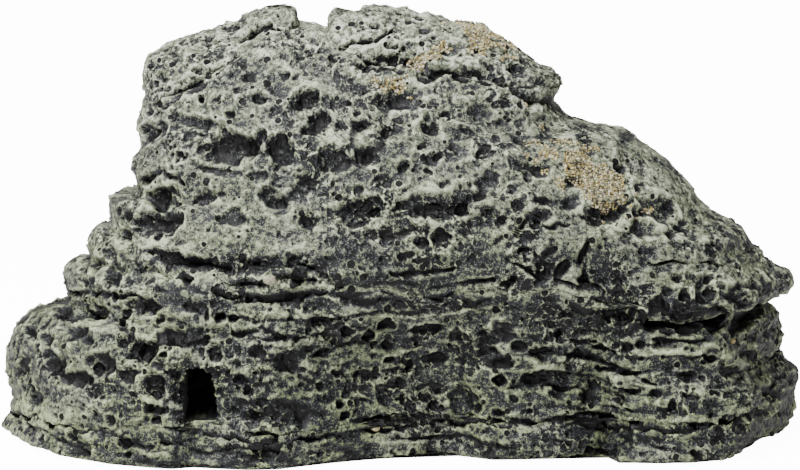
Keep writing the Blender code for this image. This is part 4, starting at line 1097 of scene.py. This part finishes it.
def stone(node, x, s, radius, seed):
    """A water-worn pebble: a ball dented by noise, flattened, and sunk by a third into the nearest rock."""
    best = None
    for p, n in SURFACES.values():
        p, n = p.reshape(-1, 3), n.reshape(-1, 3)
        height = p[:, 2] * np.cos(DIP) + p[:, 1] * np.sin(DIP)
        gap = np.hypot(p[:, 0] - x, height - s) + np.where(p[:, 1] > 0.0, 50.0, 0.0)
        k = int(gap.argmin())
        if best is None or gap[k] < best[0] - 0.3:
            best = (gap[k], p[k], n[k])
    a = np.linspace(0.0, np.pi, 20)[1:-1][:, None]
    b = np.linspace(0.0, 2.0 * np.pi, 32, endpoint=False)[None, :]
    ball = np.stack([np.sin(a) * np.cos(b), np.sin(a) * np.sin(b), np.cos(a) + 0.0 * b], -1)[::-1]
    ball = np.concatenate([ball.reshape(-1, 3), [[0.0, 0.0, -1.0], [0.0, 0.0, 1.0]]])
    dents = 1.0 + 0.16 * layered(ball + seed, 1.1, 3, seed)[:, None]
    dented = ball * dents * radius * np.array([1.12, 0.92, 0.85])
    rows, cols = 18, 32
    j = np.arange(cols)
    j2 = (j + 1) % cols
    top = (rows - 1) * cols
    tris = np.concatenate([np.stack([np.full(cols, rows * cols), j2, j], -1),
                           np.stack([np.full(cols, rows * cols + 1), top + j, top + j2], -1)])
    points = dented + best[1] + best[2] * 0.3 * radius
    tone = np.full(len(points), (seed % 7) / 14.0)
    return make_mesh(node + "_stone", points, grid_faces(rows, cols, False), tris, {"tone": tone})


# ---------------------------------------------------------------- openings

# Outlines in (x, z) of the rear arch and the front slot, and the y range that each is cut through
ARCH = (
    (-23.0, 5.0), (-22.6, 16.0), (-20.5, 26.0), (-16.0, 34.5), (-8.5, 41.0), (2.0, 45.0), (15.0, 46.2),
    (27.0, 45.2), (37.5, 41.4), (45.4, 35.0), (50.4, 26.0), (52.6, 16.0), (53.0, 5.0),
)
SLOT = (
    (-66.0, 14.0), (-66.4, 20.0), (-66.2, 26.0), (-65.4, 30.2), (-60.5, 30.6), (-57.6, 28.6),
    (-56.6, 23.0), (-55.8, 18.0), (-55.4, 14.6), (-60.0, 13.8),
)


def open_through(obj, outline, y_low, y_high):
    """Cuts a smooth-cornered prism out of a casting and keeps the result as plain mesh."""
    count = 72
    flat = np.array(outline)
    loop = np.concatenate([flat, flat[:1]])
    run = np.concatenate([[0.0], np.cumsum(np.hypot(*np.diff(loop, axis=0).T))])
    want = np.linspace(0.0, run[-1], count, endpoint=False)
    x, z = np.interp(want, run, loop[:, 0]), np.interp(want, run, loop[:, 1])
    x = x + 0.28 * np.sin(2.7 * z) + 0.18 * np.sin(5.9 * z)
    z = z + 0.22 * np.sin(2.9 * x)
    near_end = np.stack([x, np.full(count, y_low), z], -1)
    far_end = np.stack([x, np.full(count, y_high), z], -1)
    mesh = bpy.data.meshes.new("cutter")
    j = np.arange(count)
    sides = np.stack([j, (j + 1) % count, count + (j + 1) % count, count + j], -1).tolist()
    faces = sides + [j[::-1].tolist(), (count + j).tolist()]
    mesh.from_pydata((np.concatenate([near_end, far_end]) * MM).tolist(), [], faces)
    cutter = bpy.data.objects.new("cutter", mesh)
    bpy.context.scene.collection.objects.link(cutter)
    work = bmesh.new()
    work.from_mesh(mesh)
    bmesh.ops.recalc_face_normals(work, faces=work.faces)
    work.to_mesh(mesh)
    work.free()
    change = obj.modifiers.new("opening", "BOOLEAN")
    change.operation = "DIFFERENCE"
    change.solver = "MANIFOLD"
    change.object = cutter
    graph = bpy.context.evaluated_depsgraph_get()
    made = bpy.data.meshes.new_from_object(obj.evaluated_get(graph), depsgraph=graph)
    obj.modifiers.clear()
    obj.data = made
    made.materials.clear()
    made.polygons.foreach_set("material_index", np.zeros(len(made.polygons), np.int32))
    bpy.data.objects.remove(cutter)


# ---------------------------------------------------------------- studio


def studio():
    """A pale seamless floor that glows for the camera except under the rock, soft lights, a pale surround."""
    half = 4.0
    mesh = bpy.data.meshes.new("floor")
    corners = [(-half, -half, 0), (half, -half, 0), (half, half, 0), (-half, half, 0)]
    mesh.from_pydata(corners, [], [(0, 1, 2, 3)])
    floor = bpy.data.objects.new("floor", mesh)
    bpy.context.scene.collection.objects.link(floor)
    material, tree = blank("white_paper")
    place = (add(tree, "ShaderNodeTexCoord"), "Object")
    less = {"operation": "SUBTRACT"}
    aside = (add(tree, "ShaderNodeVectorMath", less, i0=place, i1=(0.0085, 0.0055, 0.0)), 0)
    aside = (add(tree, "ShaderNodeVectorMath", {"operation": "ABSOLUTE"}, i0=aside), 0)
    parts = add(tree, "ShaderNodeSeparateXYZ", None, Vector=aside)
    across = calc(tree, "DIVIDE", (parts, "X"), 0.0835)
    reach = calc(tree, "MAXIMUM", across, calc(tree, "DIVIDE", (parts, "Y"), 0.0445))
    seen = calc(tree, "MULTIPLY", (add(tree, "ShaderNodeLightPath"), "Is Camera Ray"), 13.0)
    seen = calc(tree, "MULTIPLY", seen, band(tree, reach, 0.98, 1.04))
    shader = add(tree, "ShaderNodeBsdfPrincipled", None, Base_Color=srgb("#f4f4f2"), Roughness=0.9,
                 Emission_Color=(1.0, 1.0, 1.0, 1.0), Emission_Strength=seen)
    add(tree, "ShaderNodeOutputMaterial", None, Surface=(shader, "BSDF"))
    mesh.materials.append(material)
    world = bpy.data.worlds.new("surround")
    bpy.context.scene.world = world
    world.use_nodes = True
    tree = world.node_tree
    tree.nodes.clear()
    ray = add(tree, "ShaderNodeLightPath")
    strength = calc(tree, "MULTIPLY_ADD", (ray, "Is Camera Ray"), 14.0, 0.30)
    sky = add(tree, "ShaderNodeBackground", None, Color=(1.0, 1.0, 1.0, 1.0), Strength=strength)
    add(tree, "ShaderNodeOutputWorld", None, Surface=(sky, "Background"))
    for name, place, aim, power, wide in (
        ("overhead", (-0.35, -0.35, 1.05), (0.0, 0.0, 0.05), 27.0, 0.7),
        ("front", (-0.6, -1.5, 0.9), (0.0, 0.0, 0.05), 9.0, 0.7),
    ):
        lamp = bpy.data.lights.new(name, "AREA")
        lamp.shape = "SQUARE"
        lamp.size = wide
        lamp.energy = power
        obj = bpy.data.objects.new(name, lamp)
        obj.location = place
        obj.rotation_euler = (Vector(aim) - Vector(place)).to_track_quat("-Z", "Y").to_euler()
        bpy.context.scene.collection.objects.link(obj)


# Camera distance, and the width and middle height of what it sees there, in metres
CAMERA_AWAY = 2.0
PICTURE_WIDTH = 0.252
AIM_HEIGHT = 0.0614


def set_camera():
    """A long lens ten degrees above the horizon, square on to the front."""
    ahead = Vector((0.0, np.cos(DIP), -np.sin(DIP)))
    up = Vector((0.0, np.sin(DIP), np.cos(DIP)))
    data = bpy.data.cameras.new("camera")
    data.sensor_width = 36.0
    data.lens = data.sensor_width * CAMERA_AWAY / PICTURE_WIDTH
    data.clip_end = 20.0
    camera = bpy.data.objects.new("camera", data)
    camera.location = up * AIM_HEIGHT - ahead * CAMERA_AWAY
    camera.rotation_euler = ahead.to_track_quat("-Z", "Y").to_euler()
    bpy.context.scene.collection.objects.link(camera)
    bpy.context.scene.camera = camera


# ---------------------------------------------------------------- assembly


def main():
    """Makes every piece, puts it in place of its CAD node, and sets up the studio."""
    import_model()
    resin = painted_resin("dry_brushed_cast_resin")
    # The caps' copy with more sage: partly the brushing, partly painted light on the summit
    cap_resin = painted_resin("dry_brushed_cast_resin_summit", 0.12)
    made = [
        (make_plinth(), "base_plinth", resin),
        (make_shell(), "lower_shell", resin),
        (make_side("lower_left_lobe_rock", PLINTH_TOP + JOINT, LOBE_TOP, 620, 76), "lower_left_lobe", resin),
        (make_side("left_ledge_rock", LOBE_TOP + JOINT, LEFT_LEDGE_TOP, 480, 60), "left_ledge", resin),
        (make_side("left_shoulder_rock", LEFT_LEDGE_TOP + JOINT, SHOULDER_TOP, 360, 32), "left_shoulder",
         resin),
        (make_boulder(), "upper_boulder", resin),
        (make_right_ledge(), "right_ledge", resin),
        (make_cap("left_cap_rock", LEFT_CREST, 460, (0.0, 3.0)), "left_cap", cap_resin),
        (make_cap("right_cap_rock", RIGHT_CREST, 600, (3.0, 1.0)), "right_cap", cap_resin),
    ]
    by_node = {node: obj for obj, node, _ in made}
    open_through(by_node["base_plinth"], ARCH, 24.0, 80.0)
    open_through(by_node["lower_shell"], ARCH, 24.0, 80.0)
    open_through(by_node["lower_shell"], SLOT, -80.0, -17.0)
    grit = sorted_grit("glued_quartz_sand", 0.0)
    rusty = sorted_grit("glued_rusty_sand", 0.18)
    for k, (node, *bed) in enumerate(BEDS):
        made.append((gravel_bed(node, *bed, SEED + 90 + k), node, rusty if node == "rust_gravel" else grit))
    worn = sorted_grit("worn_pebble_stone", 0.08)
    for k, (node, x, s, radius) in enumerate(STONES):
        made.append((stone(node, x, s, radius, 3 + 5 * k), node, worn))
    for obj, node, material in made:
        obj.data.materials.append(material)
        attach(obj, "root")
        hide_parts(node)
    studio()
    set_camera()


main()
